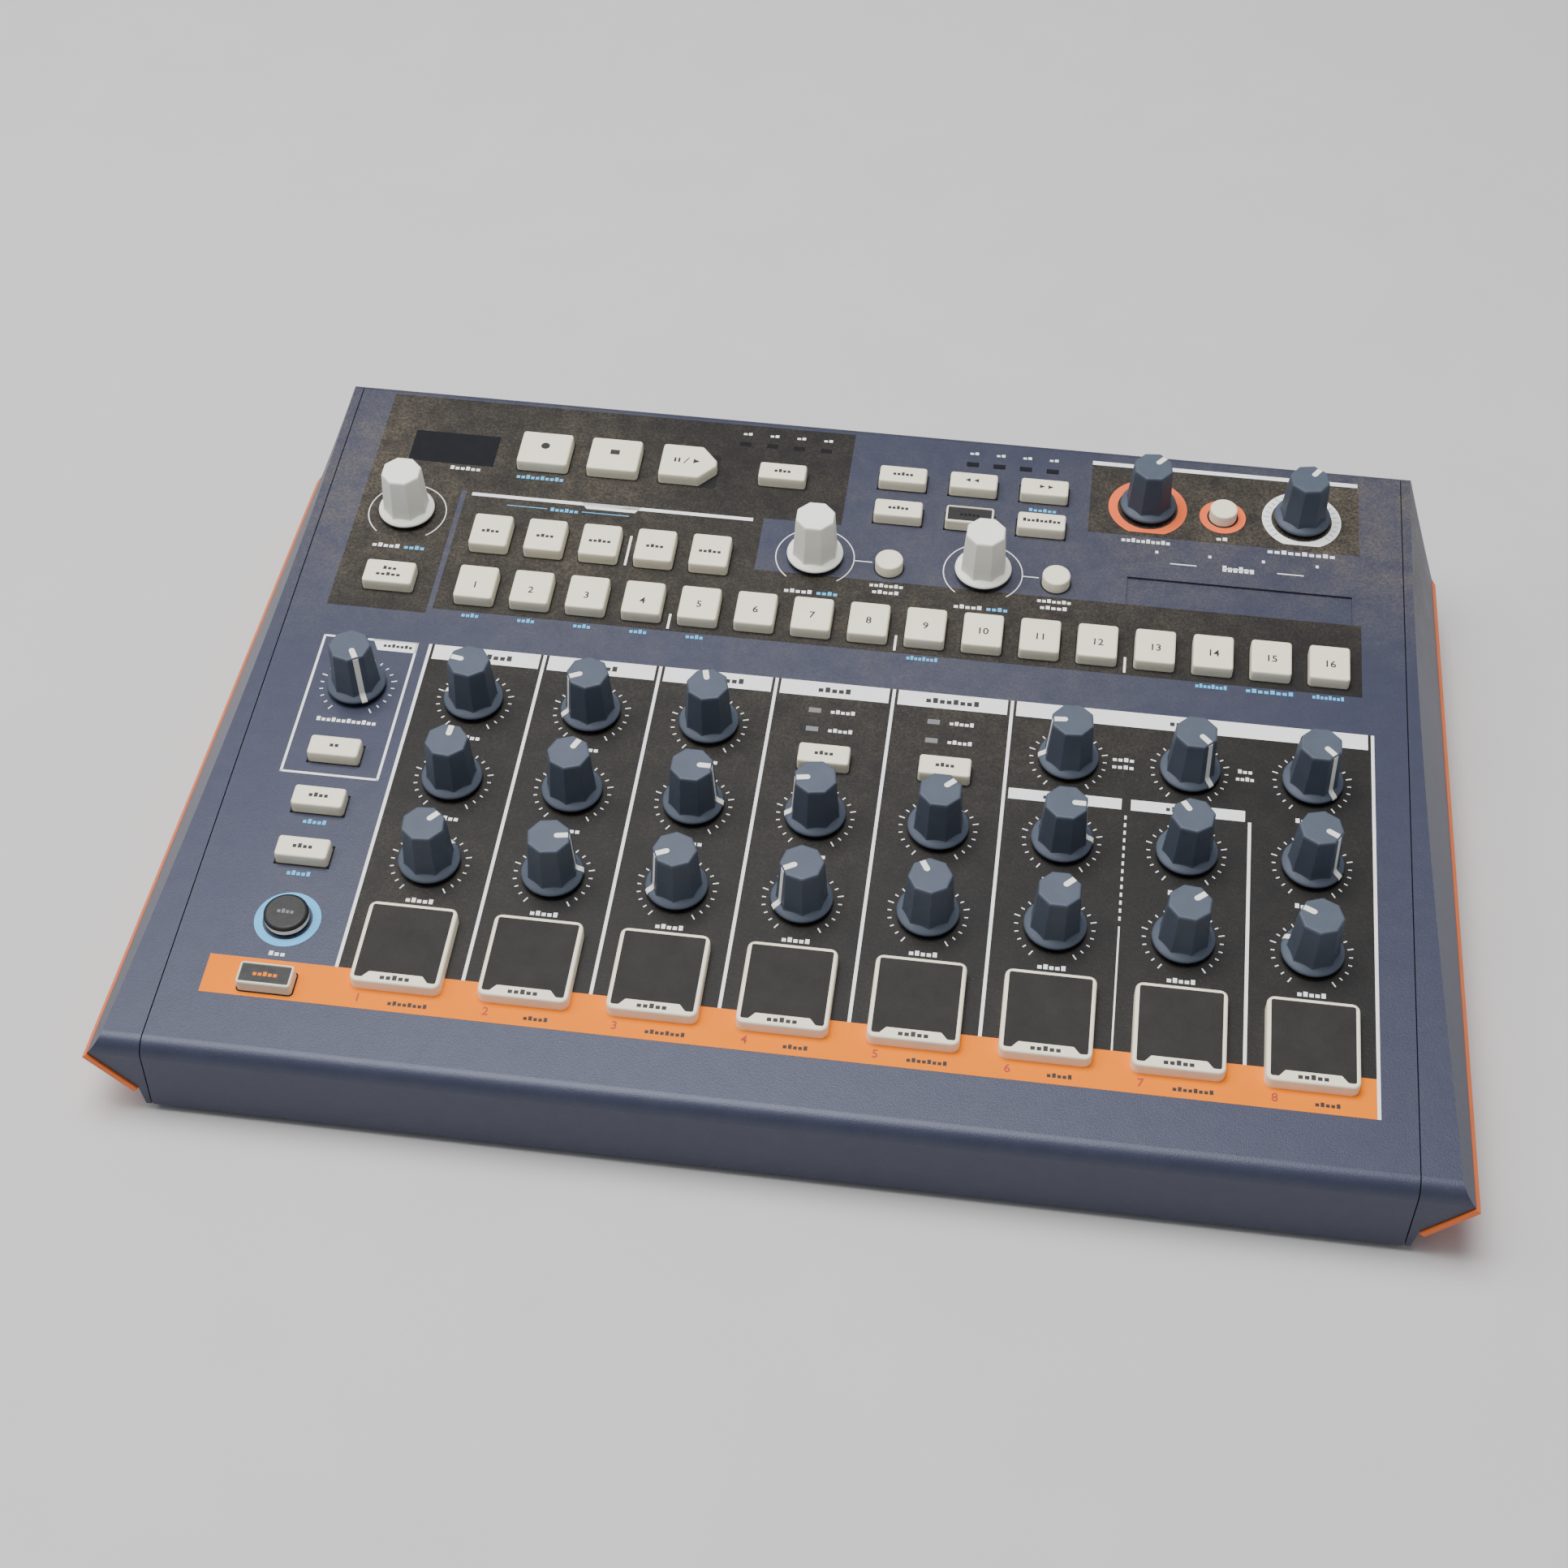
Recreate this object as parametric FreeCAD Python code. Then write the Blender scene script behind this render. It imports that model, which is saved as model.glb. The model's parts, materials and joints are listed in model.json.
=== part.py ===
"""Desktop drum machine: a wedge-shaped case with knobs, keys and pads on its sloping panel.

World frame: +X to the right, +Y to the rear, +Z up, origin under the middle of the case on the
surface it stands on. Panel frame: x as above, y up the slope from the row of step keys, z out of
the panel. Lengths are in millimetres and angles in degrees.
"""
import FreeCAD
import Part
import math
import os

Vector = FreeCAD.Vector

# Case
COVER_WIDTH = 316.8
PANEL_LENGTH = 247.5
PANEL_TILT = 5.4
FRONT_HEIGHT = 22.6
COVER_WALL = 2.0
FRONT_BEND_RADIUS = 4.6
REAR_BEND_RADIUS = 2.4
REAR_LIP = 9.0
SEAM_GAP = 0.3
FIT_GAP = 0.2

# End caps and side plates
CAP_WIDTH = 13.9
CAP_WALL = 2.4
EDGE_HEIGHT = 18.1
BASE_STEP = 1.2
UNDERCUT_HEIGHT = 6.2
UNDERCUT_INSET = 11.4
CREASE_INSET_FRONT = 3.4
CREASE_INSET_MIDDLE = 9.6
CREASE_INSET_REAR = 11.0
CORNER_CUT_X = 11.0
CORNER_CUT_Y = 13.0
PLATE_THICKNESS = 1.6
PLATE_FRONT_REVEAL = 0.5

# Tray, feet, posts and screws
TRAY_WALL = 1.5
FOOT_HEIGHT = 2.6
FOOT_RADIUS = 7.0
FOOT_INSET_X = 30.0
FOOT_INSET_Y = 20.0
BOSS_RADIUS = 3.2
BOSS_INSET_X = 8.4
BOSS_INSET_Y = 16.0
SCREW_RADIUS = 1.2
SCREW_LENGTH = 12.0
SCREW_HEAD_RADIUS = 2.8
SCREW_HEAD_HEIGHT = 1.7
SCREW_HEAD_SIDES = 12
POST_RADIUS = 2.5
POST_SIDES = 6

# Places on the panel
STEP_ROW_FROM_FRONT = 165.5
STEP_COUNT = 16
STEP_PITCH = 16.2
STEP_1_X = -106.3
MODE_COUNT = 5
MODE_ROW_Y = 21.1
CHANNEL_COUNT = 8
CHANNEL_PITCH = 32.96
CHANNEL_1_X = -98.5
KNOB_ROW_PITCH = 28.5
LEVEL_ROW_Y = -99.0
PAD_ROW_Y = -128.1
LEFT_COLUMN_X = -132.0
UPPER_CHANNELS = (1, 2, 3, 6, 7, 8)
TYPE_CHANNELS = (4, 5)
TYPE_KEY_Y = -51.1

# Knobs
KNOB_HEIGHT = 17.0
KNOB_TOP_RADIUS = 5.8
KNOB_WAIST_RADIUS = 6.7
KNOB_SIDES = 8
ROUND_SIDES = 20
SKIRT_RADIUS = 8.2
SKIRT_THICKNESS = 1.6
SKIRT_GAP = 1.4
POINTER_WIDTH = 1.3
POINTER_DEPTH = 0.3
HUB_RADIUS = 3.2
HUB_SIDES = 6
HUB_HOLE_GAP = 0.5

# Keys
KEY_HEIGHT = 3.7
KEY_TRAVEL = 1.0
KEY_GAP = 0.4
KEY_BEVEL = 0.45
KEY_LIP = 0.8
KEY_LIP_THICKNESS = 1.0
KEY_STEM = 3.6
STEP_KEY_SIZE = (11.4, 12.6)
TRANSPORT_KEY_SIZE = (15.4, 13.4)
PLAY_POINT = 4.8
PLAY_TIP = 2.2
BAR_KEY_SIZE = (14.2, 6.8)
TAP_KEY_SIZE = (14.6, 8.8)
ROUND_KEY_RADIUS = 4.1
SHIFT_KEY_RADIUS = 4.6
INSET_RIM = 0.9
INSET_DEPTH = 0.4

# Pads
PAD_SIZE = (23.4, 25.4)
PAD_HEIGHT = 3.6
PAD_CORNER = 1.8
PAD_RIM = 1.3
PAD_RECESS = 0.7
PAD_TAB_LENGTH = 3.2
PAD_TAB_WIDTH = 13.4
PAD_TAB_SLOPE = 1.9
PAD_TRAVEL = 0.8
PAD_PLUNGER = 16.0

# Recess and windows of the panel
STRIP_SIZE = (64.4, 14.4)
STRIP_CENTRE = (111.4, 22.3)
STRIP_DEPTH = 0.7
DISPLAY_SIZE = (26.0, 13.0)
DISPLAY_CENTRE = (-125.0, 57.0)
LAMP_SIZE = (3.4, 1.7)
WINDOW_THICKNESS = 1.6
WINDOW_RECESS = 0.2
WINDOW_GAP = 0.1

# Boards and what stands on them
BOARD_THICKNESS = 1.6
BOARD_DEPTH = 12.4
BOARD_INSET_X = 15.4
BOARD_FRONT_Y = -146.0
BOARD_REAR_Y = 74.0
POT_SIZE = 9.8
POT_HEIGHT = 7.4
SWITCH_SIZE = 6.0
SWITCH_HEIGHT = 3.8
SENSOR_SIZE = 18.0
SENSOR_HEIGHT = 0.8
RUN_GAP = 0.3
JACK_BOARD_DEPTH = 26.0
JACK_BOARD_INSET = 12.4

# Rear sockets
SOCKET_HEIGHT = 17.5
SOCKET_REVEAL = 1.2
PHONE_BORE = 3.2
PHONE_COLLAR = 5.2
PHONE_BODY = (15.0, 18.0)
PHONE_DEPTH = 16.0
MINI_BORE = 1.8
MINI_COLLAR = 3.3
MINI_BODY = (9.0, 12.0)
MINI_DEPTH = 10.0
DIN_RADIUS = 8.0
DIN_GROOVE = (5.9, 6.9)
DIN_BODY = (19.0, 13.0)
DIN_DEPTH = 6.0
USB_FACE = (12.0, 11.0)
USB_MOUTH = (8.5, 7.8)
USB_TONGUE = (5.6, 3.2)
USB_BODY_DEPTH = 16.0
USB_DEPTH = 9.0
POWER_INLET_FACE = (9.0, 11.0)
POWER_INLET_BORE = 2.9
POWER_INLET_PIN = 0.95
POWER_BUTTON_SIZE = (8.0, 8.0)
POWER_BUTTON_REVEAL = 1.2
POWER_BUTTON_TRAVEL = 0.9
POWER_BUTTON_INSET = 20.4
POWER_INLET_SPACING = 21.0
USB_SPACING = 20.0
DIN_SPACING = 26.0
PHONE_INSET = 42.4
PHONE_SPACING = 28.0
MINI_SPACING = 32.0
MIDDLE_SOCKET_X = 8.0

# Length of the panel that the places up its slope are drawn for
PLAN_LENGTH = 247.5


def row(y):
    """Place up the slope, which keeps its share of the panel's length."""
    return y * PANEL_LENGTH / PLAN_LENGTH


TILT = math.radians(PANEL_TILT)
CASE_DEPTH = PANEL_LENGTH * math.cos(TILT)
Y_FRONT = -(CASE_DEPTH + SOCKET_REVEAL) / 2
Y_REAR = Y_FRONT + CASE_DEPTH
Z_UNDER = FOOT_HEIGHT
Z_FRONT = Z_UNDER + FRONT_HEIGHT
Z_REAR = Z_FRONT + PANEL_LENGTH * math.sin(TILT)
COVER_HALF = COVER_WIDTH / 2
EDGE_X = COVER_HALF + CAP_WIDTH
Z_EDGE = Z_UNDER + EDGE_HEIGHT
Z_SOCKET = Z_UNDER + SOCKET_HEIGHT
PANEL = FreeCAD.Placement(
    Vector(
        0,
        Y_FRONT + row(STEP_ROW_FROM_FRONT) * math.cos(TILT),
        Z_FRONT + row(STEP_ROW_FROM_FRONT) * math.sin(TILT),
    ),
    FreeCAD.Rotation(Vector(1, 0, 0), PANEL_TILT),
)
KNOB_ROWS_Y = [row(LEVEL_ROW_Y + i * KNOB_ROW_PITCH) for i in range(3)]
STRIP_PLACE = (STRIP_CENTRE[0], row(STRIP_CENTRE[1]))
DISPLAY_PLACE = (DISPLAY_CENTRE[0], row(DISPLAY_CENTRE[1]))
BOARD_TOP = -BOARD_DEPTH
BOARD_ROWS = (row(BOARD_FRONT_Y), row(BOARD_REAR_Y))
BOARD_HALF = COVER_HALF - BOARD_INSET_X
POT_TOP = BOARD_TOP + POT_HEIGHT
SWITCH_TOP = BOARD_TOP + SWITCH_HEIGHT
Z_JACK_BOARD = Z_SOCKET - DIN_RADIUS - RUN_GAP - BOARD_THICKNESS
JACK_BOARD_WIDTH = 2 * (COVER_HALF - JACK_BOARD_INSET)
POWER_BUTTON_X = COVER_HALF - POWER_BUTTON_INSET
POWER_INLET_X = POWER_BUTTON_X - POWER_INLET_SPACING
USB_X = POWER_INLET_X - USB_SPACING
DIN_SOCKETS_X = (USB_X - DIN_SPACING, USB_X - 2 * DIN_SPACING)
PHONE_SOCKETS_X = (PHONE_INSET - COVER_HALF, PHONE_INSET - COVER_HALF + PHONE_SPACING)
MINI_SOCKETS_X = (MIDDLE_SOCKET_X, PHONE_SOCKETS_X[1] + MINI_SPACING)
SOCKET_BACK = Y_REAR - TRAY_WALL - FIT_GAP


def channel_x(channel):
    """Centre line of a channel, 1 to 8 from the left."""
    return CHANNEL_1_X + (channel - 1) * CHANNEL_PITCH


def corner_arc(before, corner, after, radius):
    """Tangent points and middle of the arc that rounds one corner of an outline."""
    a = (before - corner).normalize()
    b = (after - corner).normalize()
    half = a.getAngle(b) / 2
    reach = radius / math.tan(half)
    centre = corner + (a + b).normalize() * (radius / math.sin(half))
    middle = centre + (corner - centre).normalize() * radius
    return corner + a * reach, middle, corner + b * reach


def outline(points, radii=None):
    """Closed wire through the points, each corner rounded by its own radius."""
    points = [Vector(*p) for p in points]
    radii = radii or [0] * len(points)
    edges = []
    stops = []
    for i, corner in enumerate(points):
        if radii[i]:
            start, middle, end = corner_arc(points[i - 1], corner, points[(i + 1) % len(points)], radii[i])
            edges.append(Part.Arc(start, middle, end).toShape())
            stops.append((start, end))
        else:
            stops.append((corner, corner))
    for i, (_, end) in enumerate(stops):
        edges.append(Part.makeLine(end, stops[(i + 1) % len(stops)][0]))
    return Part.Wire(Part.__sortEdges__(edges))


def prism(wire, along):
    """Solid swept from a flat closed wire."""
    return Part.Face(wire).extrude(along)


def block(size, centre, low, high):
    """Box of the given width and length, centred in plan, from low to high."""
    corner = Vector(centre[0] - size[0] / 2, centre[1] - size[1] / 2, low)
    return Part.makeBox(size[0], size[1], high - low, corner)


def polygon(radius, sides, z, centre=(0, 0)):
    """Corners of a regular polygon."""
    points = []
    for i in range(sides):
        a = 2 * math.pi * (i + 0.5) / sides
        points.append((centre[0] + radius * math.cos(a), centre[1] + radius * math.sin(a), z))
    return points


def pillar(radius, sides, centre, low, high):
    """Upright prism on a regular polygon."""
    return prism(outline(polygon(radius, sides, low, centre)), Vector(0, 0, high - low))


def tapered(sections):
    """Solid with flat sides through outlines that lie one above the other."""
    faces = [Part.Face(outline(sections[0])), Part.Face(outline(sections[-1]))]
    for low, high in zip(sections, sections[1:]):
        for i in range(len(low)):
            j = (i + 1) % len(low)
            faces.append(Part.Face(outline([low[i], low[j], high[j], high[i]])))
    shell = Part.makeShell(faces)
    shell.sewShape()
    solid = Part.Solid(shell)
    if solid.Volume < 0:
        solid.reverse()
    return solid


def fuse(shapes):
    """One solid from several that share faces or overlap."""
    whole = shapes[0].multiFuse(shapes[1:]) if len(shapes) > 1 else shapes[0]
    return whole.removeSplitter()


def on_panel(shape):
    """Carries a shape from the panel frame to the world frame."""
    placed = shape.copy()
    placed.Placement = PANEL.multiply(placed.Placement)
    return placed


def save(name, solids):
    """Writes one node, a single solid or a group of separate ones."""
    solids = solids if isinstance(solids, list) else [solids]
    shape = solids[0] if len(solids) == 1 else Part.makeCompound(solids)
    shape.exportStep("parts/" + name + ".step")


def silhouette(inset, x, low=0.0):
    """Side view of the case, drawn in by inset, with its underside lowered by low."""
    rise = math.tan(TILT)
    front = Y_FRONT + inset
    rear = Y_REAR - inset
    drop = inset / math.cos(TILT)
    bottom = Z_UNDER - low
    points = [
        (x, front, bottom),
        (x, front, Z_FRONT + inset * rise - drop),
        (x, rear, Z_FRONT + (rear - Y_FRONT) * rise - drop),
        (x, rear, bottom),
    ]
    bends = [0, max(FRONT_BEND_RADIUS - inset, 0.4), max(REAR_BEND_RADIUS - inset, 0.4), 0]
    return outline(points, bends)


# Controls: the outline of each key in the panel frame, listed by bank
def rectangle(size, centre, shrink=0.0):
    """Rectangular key outline."""
    x, y = centre
    a = size[0] / 2 - shrink
    b = size[1] / 2 - shrink
    return [(x - a, y - b), (x + a, y - b), (x + a, y + b), (x - a, y + b)]


def arrow(size, centre, shrink=0.0):
    """Outline of the play key: a rectangle with a blunt point to the right."""
    scale = 1 - 2 * shrink / size[1]
    a = size[0] / 2
    b = size[1] / 2
    tip = PLAY_TIP / 2
    corners = [(-a, -b), (a - PLAY_POINT, -b), (a, -tip), (a, tip), (a - PLAY_POINT, b), (-a, b)]
    return [(centre[0] + x * scale, centre[1] + y * scale) for x, y in corners]


def raised(points, z):
    """The same outline at one height of the panel frame."""
    return [(x, y, z) for x, y in points]


def flat(points, z):
    """Closed wire of straight edges at one height of the panel frame."""
    return outline(raised(points, z))


def square_key(shape, size, centre):
    """Key cap with a bevelled top, its lip under the panel and its stem."""
    lip_top = -COVER_WALL - RUN_GAP
    lip_low = lip_top - KEY_LIP_THICKNESS
    crown = tapered(
        [
            raised(shape(size, centre), lip_top),
            raised(shape(size, centre), KEY_HEIGHT - KEY_BEVEL),
            raised(shape(size, centre, KEY_BEVEL), KEY_HEIGHT),
        ]
    )
    wide = (size[0] + 2 * KEY_LIP, size[1] + 2 * KEY_LIP)
    lip = block(wide, centre, lip_low, lip_top)
    stem = block((KEY_STEM, KEY_STEM), centre, SWITCH_TOP + RUN_GAP + KEY_TRAVEL, lip_low)
    return fuse([crown, lip, stem])


def round_key(radius, centre, dished=False):
    """Round key with a bevelled top; the dished one has a rim round a sunk disc."""
    lip_top = -COVER_WALL - RUN_GAP
    lip_low = lip_top - KEY_LIP_THICKNESS
    body = tapered(
        [
            polygon(radius, ROUND_SIDES, lip_top, centre),
            polygon(radius, ROUND_SIDES, KEY_HEIGHT - KEY_BEVEL, centre),
            polygon(radius - KEY_BEVEL, ROUND_SIDES, KEY_HEIGHT, centre),
        ]
    )
    wide = 2 * (radius + KEY_LIP)
    lip = block((wide, wide), centre, lip_low, lip_top)
    stem = block((KEY_STEM, KEY_STEM), centre, SWITCH_TOP + RUN_GAP + KEY_TRAVEL, lip_low)
    key = fuse([body, lip, stem])
    if dished:
        well = radius - KEY_BEVEL - INSET_RIM
        key = key.cut(pillar(well, ROUND_SIDES, centre, KEY_HEIGHT - INSET_DEPTH, KEY_HEIGHT + 1))
    return key


def inset_key(size, centre):
    """Rectangular key whose top is sunk inside a rim."""
    well = grow(size, -KEY_BEVEL - INSET_RIM)
    sunk = block(well, centre, KEY_HEIGHT - INSET_DEPTH, KEY_HEIGHT + 1)
    return square_key(rectangle, size, centre).cut(sunk)


TRANSPORT_X = -97.0
TRANSPORT_PITCH = 21.2
TRANSPORT_Y = row(57.0)
EDIT_X = 10.9
EDIT_PITCH = 21.1
EDIT_ROWS_Y = (row(59.6), row(45.3))

STEP_KEYS = [(STEP_1_X + i * STEP_PITCH, 0.0) for i in range(STEP_COUNT)]
MODE_KEYS = [(STEP_1_X + i * STEP_PITCH, row(MODE_ROW_Y)) for i in range(MODE_COUNT)]
RECORD_KEY = (TRANSPORT_X, TRANSPORT_Y)
STOP_KEY = (TRANSPORT_X + TRANSPORT_PITCH, TRANSPORT_Y)
PLAY_KEY = (TRANSPORT_X + 2 * TRANSPORT_PITCH + 1.3, TRANSPORT_Y)
PLAY_KEY_SIZE = (TRANSPORT_KEY_SIZE[0] + 1.6, TRANSPORT_KEY_SIZE[1])
SYNC_KEY = (-24.9, row(56.3))
EDIT_KEYS = [(EDIT_X + i * EDIT_PITCH, y) for y in EDIT_ROWS_Y for i in range(3)]
EDIT_INSET_INDEX = 4
TAP_KEY = (LEFT_COLUMN_X, row(0.7))
LEFT_KEYS = [(LEFT_COLUMN_X, row(y)) for y in (-65.6, -83.3, -100.7)]
ROUND_KEYS = [(10.4, row(24.1)), (58.8, row(24.1)), (106.0, row(57.4))]
TYPE_KEYS = [(channel_x(c), row(TYPE_KEY_Y)) for c in TYPE_CHANNELS]
SHIFT_KEY = (LEFT_COLUMN_X + 0.9, row(-121.9))
COLOUR_KEY = (LEFT_COLUMN_X + 0.6, row(-141.8))

BAR_KEYS = [SYNC_KEY] + EDIT_KEYS + LEFT_KEYS + TYPE_KEYS + [COLOUR_KEY]
WIDE_KEYS = [RECORD_KEY, STOP_KEY, PLAY_KEY, TAP_KEY, SHIFT_KEY]
SWITCHES = STEP_KEYS + MODE_KEYS + WIDE_KEYS + ROUND_KEYS + BAR_KEYS

KNOBS = {
    "rate_knob": (-133.2, row(28.4)),
    "swing_knob": (-11.4, row(25.6)),
    "random_knob": (37.6, row(25.6)),
    "drive_knob": (83.9, row(58.4)),
    "volume_knob": (129.1, row(59.0)),
    "click_volume_knob": (LEFT_COLUMN_X, row(-40.6)),
}
POINTER_ANGLES = {
    "rate_knob": 0, "swing_knob": 0, "random_knob": 0,
    "drive_knob": 40, "volume_knob": 35, "click_volume_knob": 150,
    "channel_1_upper_knob": -80, "channel_1_middle_knob": 5, "channel_1_level_knob": 40,
    "channel_2_upper_knob": -115, "channel_2_middle_knob": 25, "channel_2_level_knob": 80,
    "channel_3_upper_knob": -15, "channel_3_middle_knob": 90, "channel_3_level_knob": -115,
    "channel_4_middle_knob": -100, "channel_4_level_knob": -120,
    "channel_5_middle_knob": 45, "channel_5_level_knob": -30,
    "channel_6_upper_knob": -95, "channel_6_middle_knob": 90, "channel_6_level_knob": 45,
    "channel_7_upper_knob": 135, "channel_7_middle_knob": -35, "channel_7_level_knob": 50,
    "channel_8_upper_knob": 135, "channel_8_middle_knob": 120, "channel_8_level_knob": -65,
}
for channel in range(1, CHANNEL_COUNT + 1):
    if channel in UPPER_CHANNELS:
        KNOBS["channel_%d_upper_knob" % channel] = (channel_x(channel), KNOB_ROWS_Y[2])
    KNOBS["channel_%d_middle_knob" % channel] = (channel_x(channel), KNOB_ROWS_Y[1])
    KNOBS["channel_%d_level_knob" % channel] = (channel_x(channel), KNOB_ROWS_Y[0])
PADS = [(channel_x(c), row(PAD_ROW_Y)) for c in range(1, CHANNEL_COUNT + 1)]

LAMP_COUNT = 4
LAMP_ROWS = ((-38.0, 8.2, row(70.2)), (31.0, 8.0, row(70.2)))
LAMP_COLUMN_OFFSET = -4.6
LAMP_COLUMN_Y = (row(-33.0), row(-39.8))
LAMPS = [(x + i * pitch, y) for x, pitch, y in LAMP_ROWS for i in range(LAMP_COUNT)]
LAMPS += [(channel_x(c) + LAMP_COLUMN_OFFSET, y) for c in TYPE_CHANNELS for y in LAMP_COLUMN_Y]

BOARD_POST_PLACES = (
    (-119.0, -20.0),
    (-119.0, 40.0),
    (-16.0, -20.0),
    (-16.0, -85.0),
    (115.7, -20.0),
    (115.7, -85.0),
    (69.0, 36.0),
)
BOARD_POSTS = [(x, row(y)) for x, y in BOARD_POST_PLACES]


def boss_places():
    """World places of the screw bosses, one at each corner of the case."""
    x = COVER_HALF - BOSS_INSET_X
    rows = (Y_FRONT + BOSS_INSET_Y, Y_REAR - BOSS_INSET_Y)
    return [(side * x, y) for side in (-1, 1) for y in rows]


def grow(size, gap):
    """Size of the hole that clears a piece by the gap all round."""
    return (size[0] + 2 * gap, size[1] + 2 * gap)


def panel_cutters():
    """Everything that is cut through or into the panel, in the panel frame."""
    low = -COVER_WALL - 1
    cuts = [pillar(HUB_RADIUS + HUB_HOLE_GAP, HUB_SIDES, place, low, 1) for place in KNOBS.values()]
    for bank, size in (
        (STEP_KEYS + MODE_KEYS, STEP_KEY_SIZE),
        ([RECORD_KEY, STOP_KEY], TRANSPORT_KEY_SIZE),
        (BAR_KEYS, BAR_KEY_SIZE),
        ([TAP_KEY], TAP_KEY_SIZE),
        (PADS, PAD_SIZE),
    ):
        cuts += [block(grow(size, KEY_GAP), place, low, 1) for place in bank]
    play_hole = flat(arrow(grow(PLAY_KEY_SIZE, KEY_GAP), PLAY_KEY), low)
    cuts.append(prism(play_hole, Vector(0, 0, 1 - low)))
    cuts += [pillar(ROUND_KEY_RADIUS + KEY_GAP, ROUND_SIDES, place, low, 1) for place in ROUND_KEYS]
    cuts.append(pillar(SHIFT_KEY_RADIUS + KEY_GAP, ROUND_SIDES, SHIFT_KEY, low, 1))
    cuts.append(block(grow(DISPLAY_SIZE, WINDOW_GAP), DISPLAY_PLACE, low, 1))
    cuts += [block(grow(LAMP_SIZE, WINDOW_GAP), place, low, 1) for place in LAMPS]
    cuts.append(block(STRIP_SIZE, STRIP_PLACE, -STRIP_DEPTH, 1))
    return cuts


def top_cover():
    """Folded cover: front face, sloping panel and rear lip, with bosses and board posts inside."""
    half = COVER_HALF - SEAM_GAP / 2
    along = Vector(2 * half, 0, 0)
    skin = prism(silhouette(0, -half), along)
    skin = skin.cut(prism(silhouette(COVER_WALL, -half - 1, 5), along + Vector(2, 0, 0)))
    rear_opening = Part.makeBox(
        2 * half + 2,
        2 * COVER_WALL,
        Z_REAR - REAR_LIP,
        Vector(-half - 1, Y_REAR - 1.5 * COVER_WALL, 0),
    )
    skin = skin.cut(rear_opening)
    shapes = [pillar(POST_RADIUS, POST_SIDES, place, BOARD_TOP, -COVER_WALL / 2) for place in BOARD_POSTS]
    posts = [on_panel(shape) for shape in shapes]
    base_top = Z_UNDER + TRAY_WALL + FIT_GAP
    room = prism(silhouette(COVER_WALL / 2, -half), along)
    bosses = [pillar(BOSS_RADIUS, POST_SIDES, place, base_top, Z_REAR).common(room) for place in boss_places()]
    cover = fuse([skin] + posts + bosses)
    pilot = base_top + SCREW_LENGTH
    holes = [pillar(SCREW_RADIUS, POST_SIDES, place, base_top - 1, pilot) for place in boss_places()]
    return cover.cut([on_panel(c) for c in panel_cutters()] + holes)


def socket_holes():
    """Cutters for the rear wall, one for each socket and for the power button."""
    start = Y_REAR - TRAY_WALL - 1
    length = TRAY_WALL + 2
    cuts = []
    for places, radius in (
        (PHONE_SOCKETS_X, PHONE_COLLAR),
        (MINI_SOCKETS_X, MINI_COLLAR),
        (DIN_SOCKETS_X, DIN_RADIUS),
    ):
        for x in places:
            cuts.append(tube(x, radius + FIT_GAP, start, start + length))
    for x, size, gap in (
        (USB_X, USB_FACE, FIT_GAP),
        (POWER_INLET_X, POWER_INLET_FACE, FIT_GAP),
        (POWER_BUTTON_X, POWER_BUTTON_SIZE, KEY_GAP),
    ):
        wide, tall = grow(size, gap)
        cuts.append(Part.makeBox(wide, length, tall, Vector(x - wide / 2, start, Z_SOCKET - tall / 2)))
    return cuts


def bottom_tray():
    """Base plate with a rear wall and two side walls, and the posts of the jack board."""
    half = COVER_HALF - SEAM_GAP / 2
    inset = COVER_WALL + FIT_GAP
    front = Y_FRONT + inset
    base = Part.makeBox(2 * half, Y_REAR - front, TRAY_WALL, Vector(-half, front, Z_UNDER))
    rear_top = Z_REAR - REAR_LIP - FIT_GAP
    rear = Part.makeBox(2 * half, TRAY_WALL, rear_top - Z_UNDER, Vector(-half, Y_REAR - TRAY_WALL, Z_UNDER))
    side = silhouette(inset, -half)
    left = prism(side, Vector(TRAY_WALL, 0, 0))
    right = left.translated(Vector(2 * half - TRAY_WALL, 0, 0))
    post_y = Y_REAR - TRAY_WALL - JACK_BOARD_DEPTH + POST_RADIUS
    post_x = JACK_BOARD_WIDTH / 2 - 2 * POST_RADIUS
    stand = Z_UNDER + TRAY_WALL / 2
    posts = [pillar(POST_RADIUS, POST_SIDES, (x, post_y), stand, Z_JACK_BOARD) for x in (-post_x, 0, post_x)]
    tray = fuse([base, rear, left, right] + posts)
    clear = SCREW_RADIUS + FIT_GAP
    low = Z_UNDER - 1
    screw_holes = [pillar(clear, POST_SIDES, place, low, Z_UNDER + TRAY_WALL + 1) for place in boss_places()]
    return tray.cut(socket_holes() + screw_holes)


def facet_limit(inset):
    """Half space under the side facet, lofted through three stations from front to rear."""
    sections = []
    stations = (
        (Y_FRONT, CREASE_INSET_FRONT),
        ((Y_FRONT + Y_REAR) / 2, CREASE_INSET_MIDDLE),
        (Y_REAR, CREASE_INSET_REAR),
    )
    low = Z_UNDER - 10
    high = Z_REAR + 10
    for y, crease in stations:
        z_panel = Z_FRONT + (y - Y_FRONT) * math.tan(TILT)
        lean = crease / (z_panel - Z_EDGE)
        edge = EDGE_X - inset
        sections.append(
            outline(
                [
                    (COVER_HALF - 20, y, low),
                    (edge + (Z_EDGE - low) * lean, y, low),
                    (edge - (high - Z_EDGE) * lean, y, high),
                    (COVER_HALF - 20, y, high),
                ]
            )
        )
    return Part.makeLoft(sections, True, False)


def undercut_points():
    """Outer and inner end of the undercut under the widest edge, as (x, z)."""
    return (EDGE_X, Z_EDGE), (EDGE_X - UNDERCUT_INSET, Z_UNDER + UNDERCUT_HEIGHT)


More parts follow.
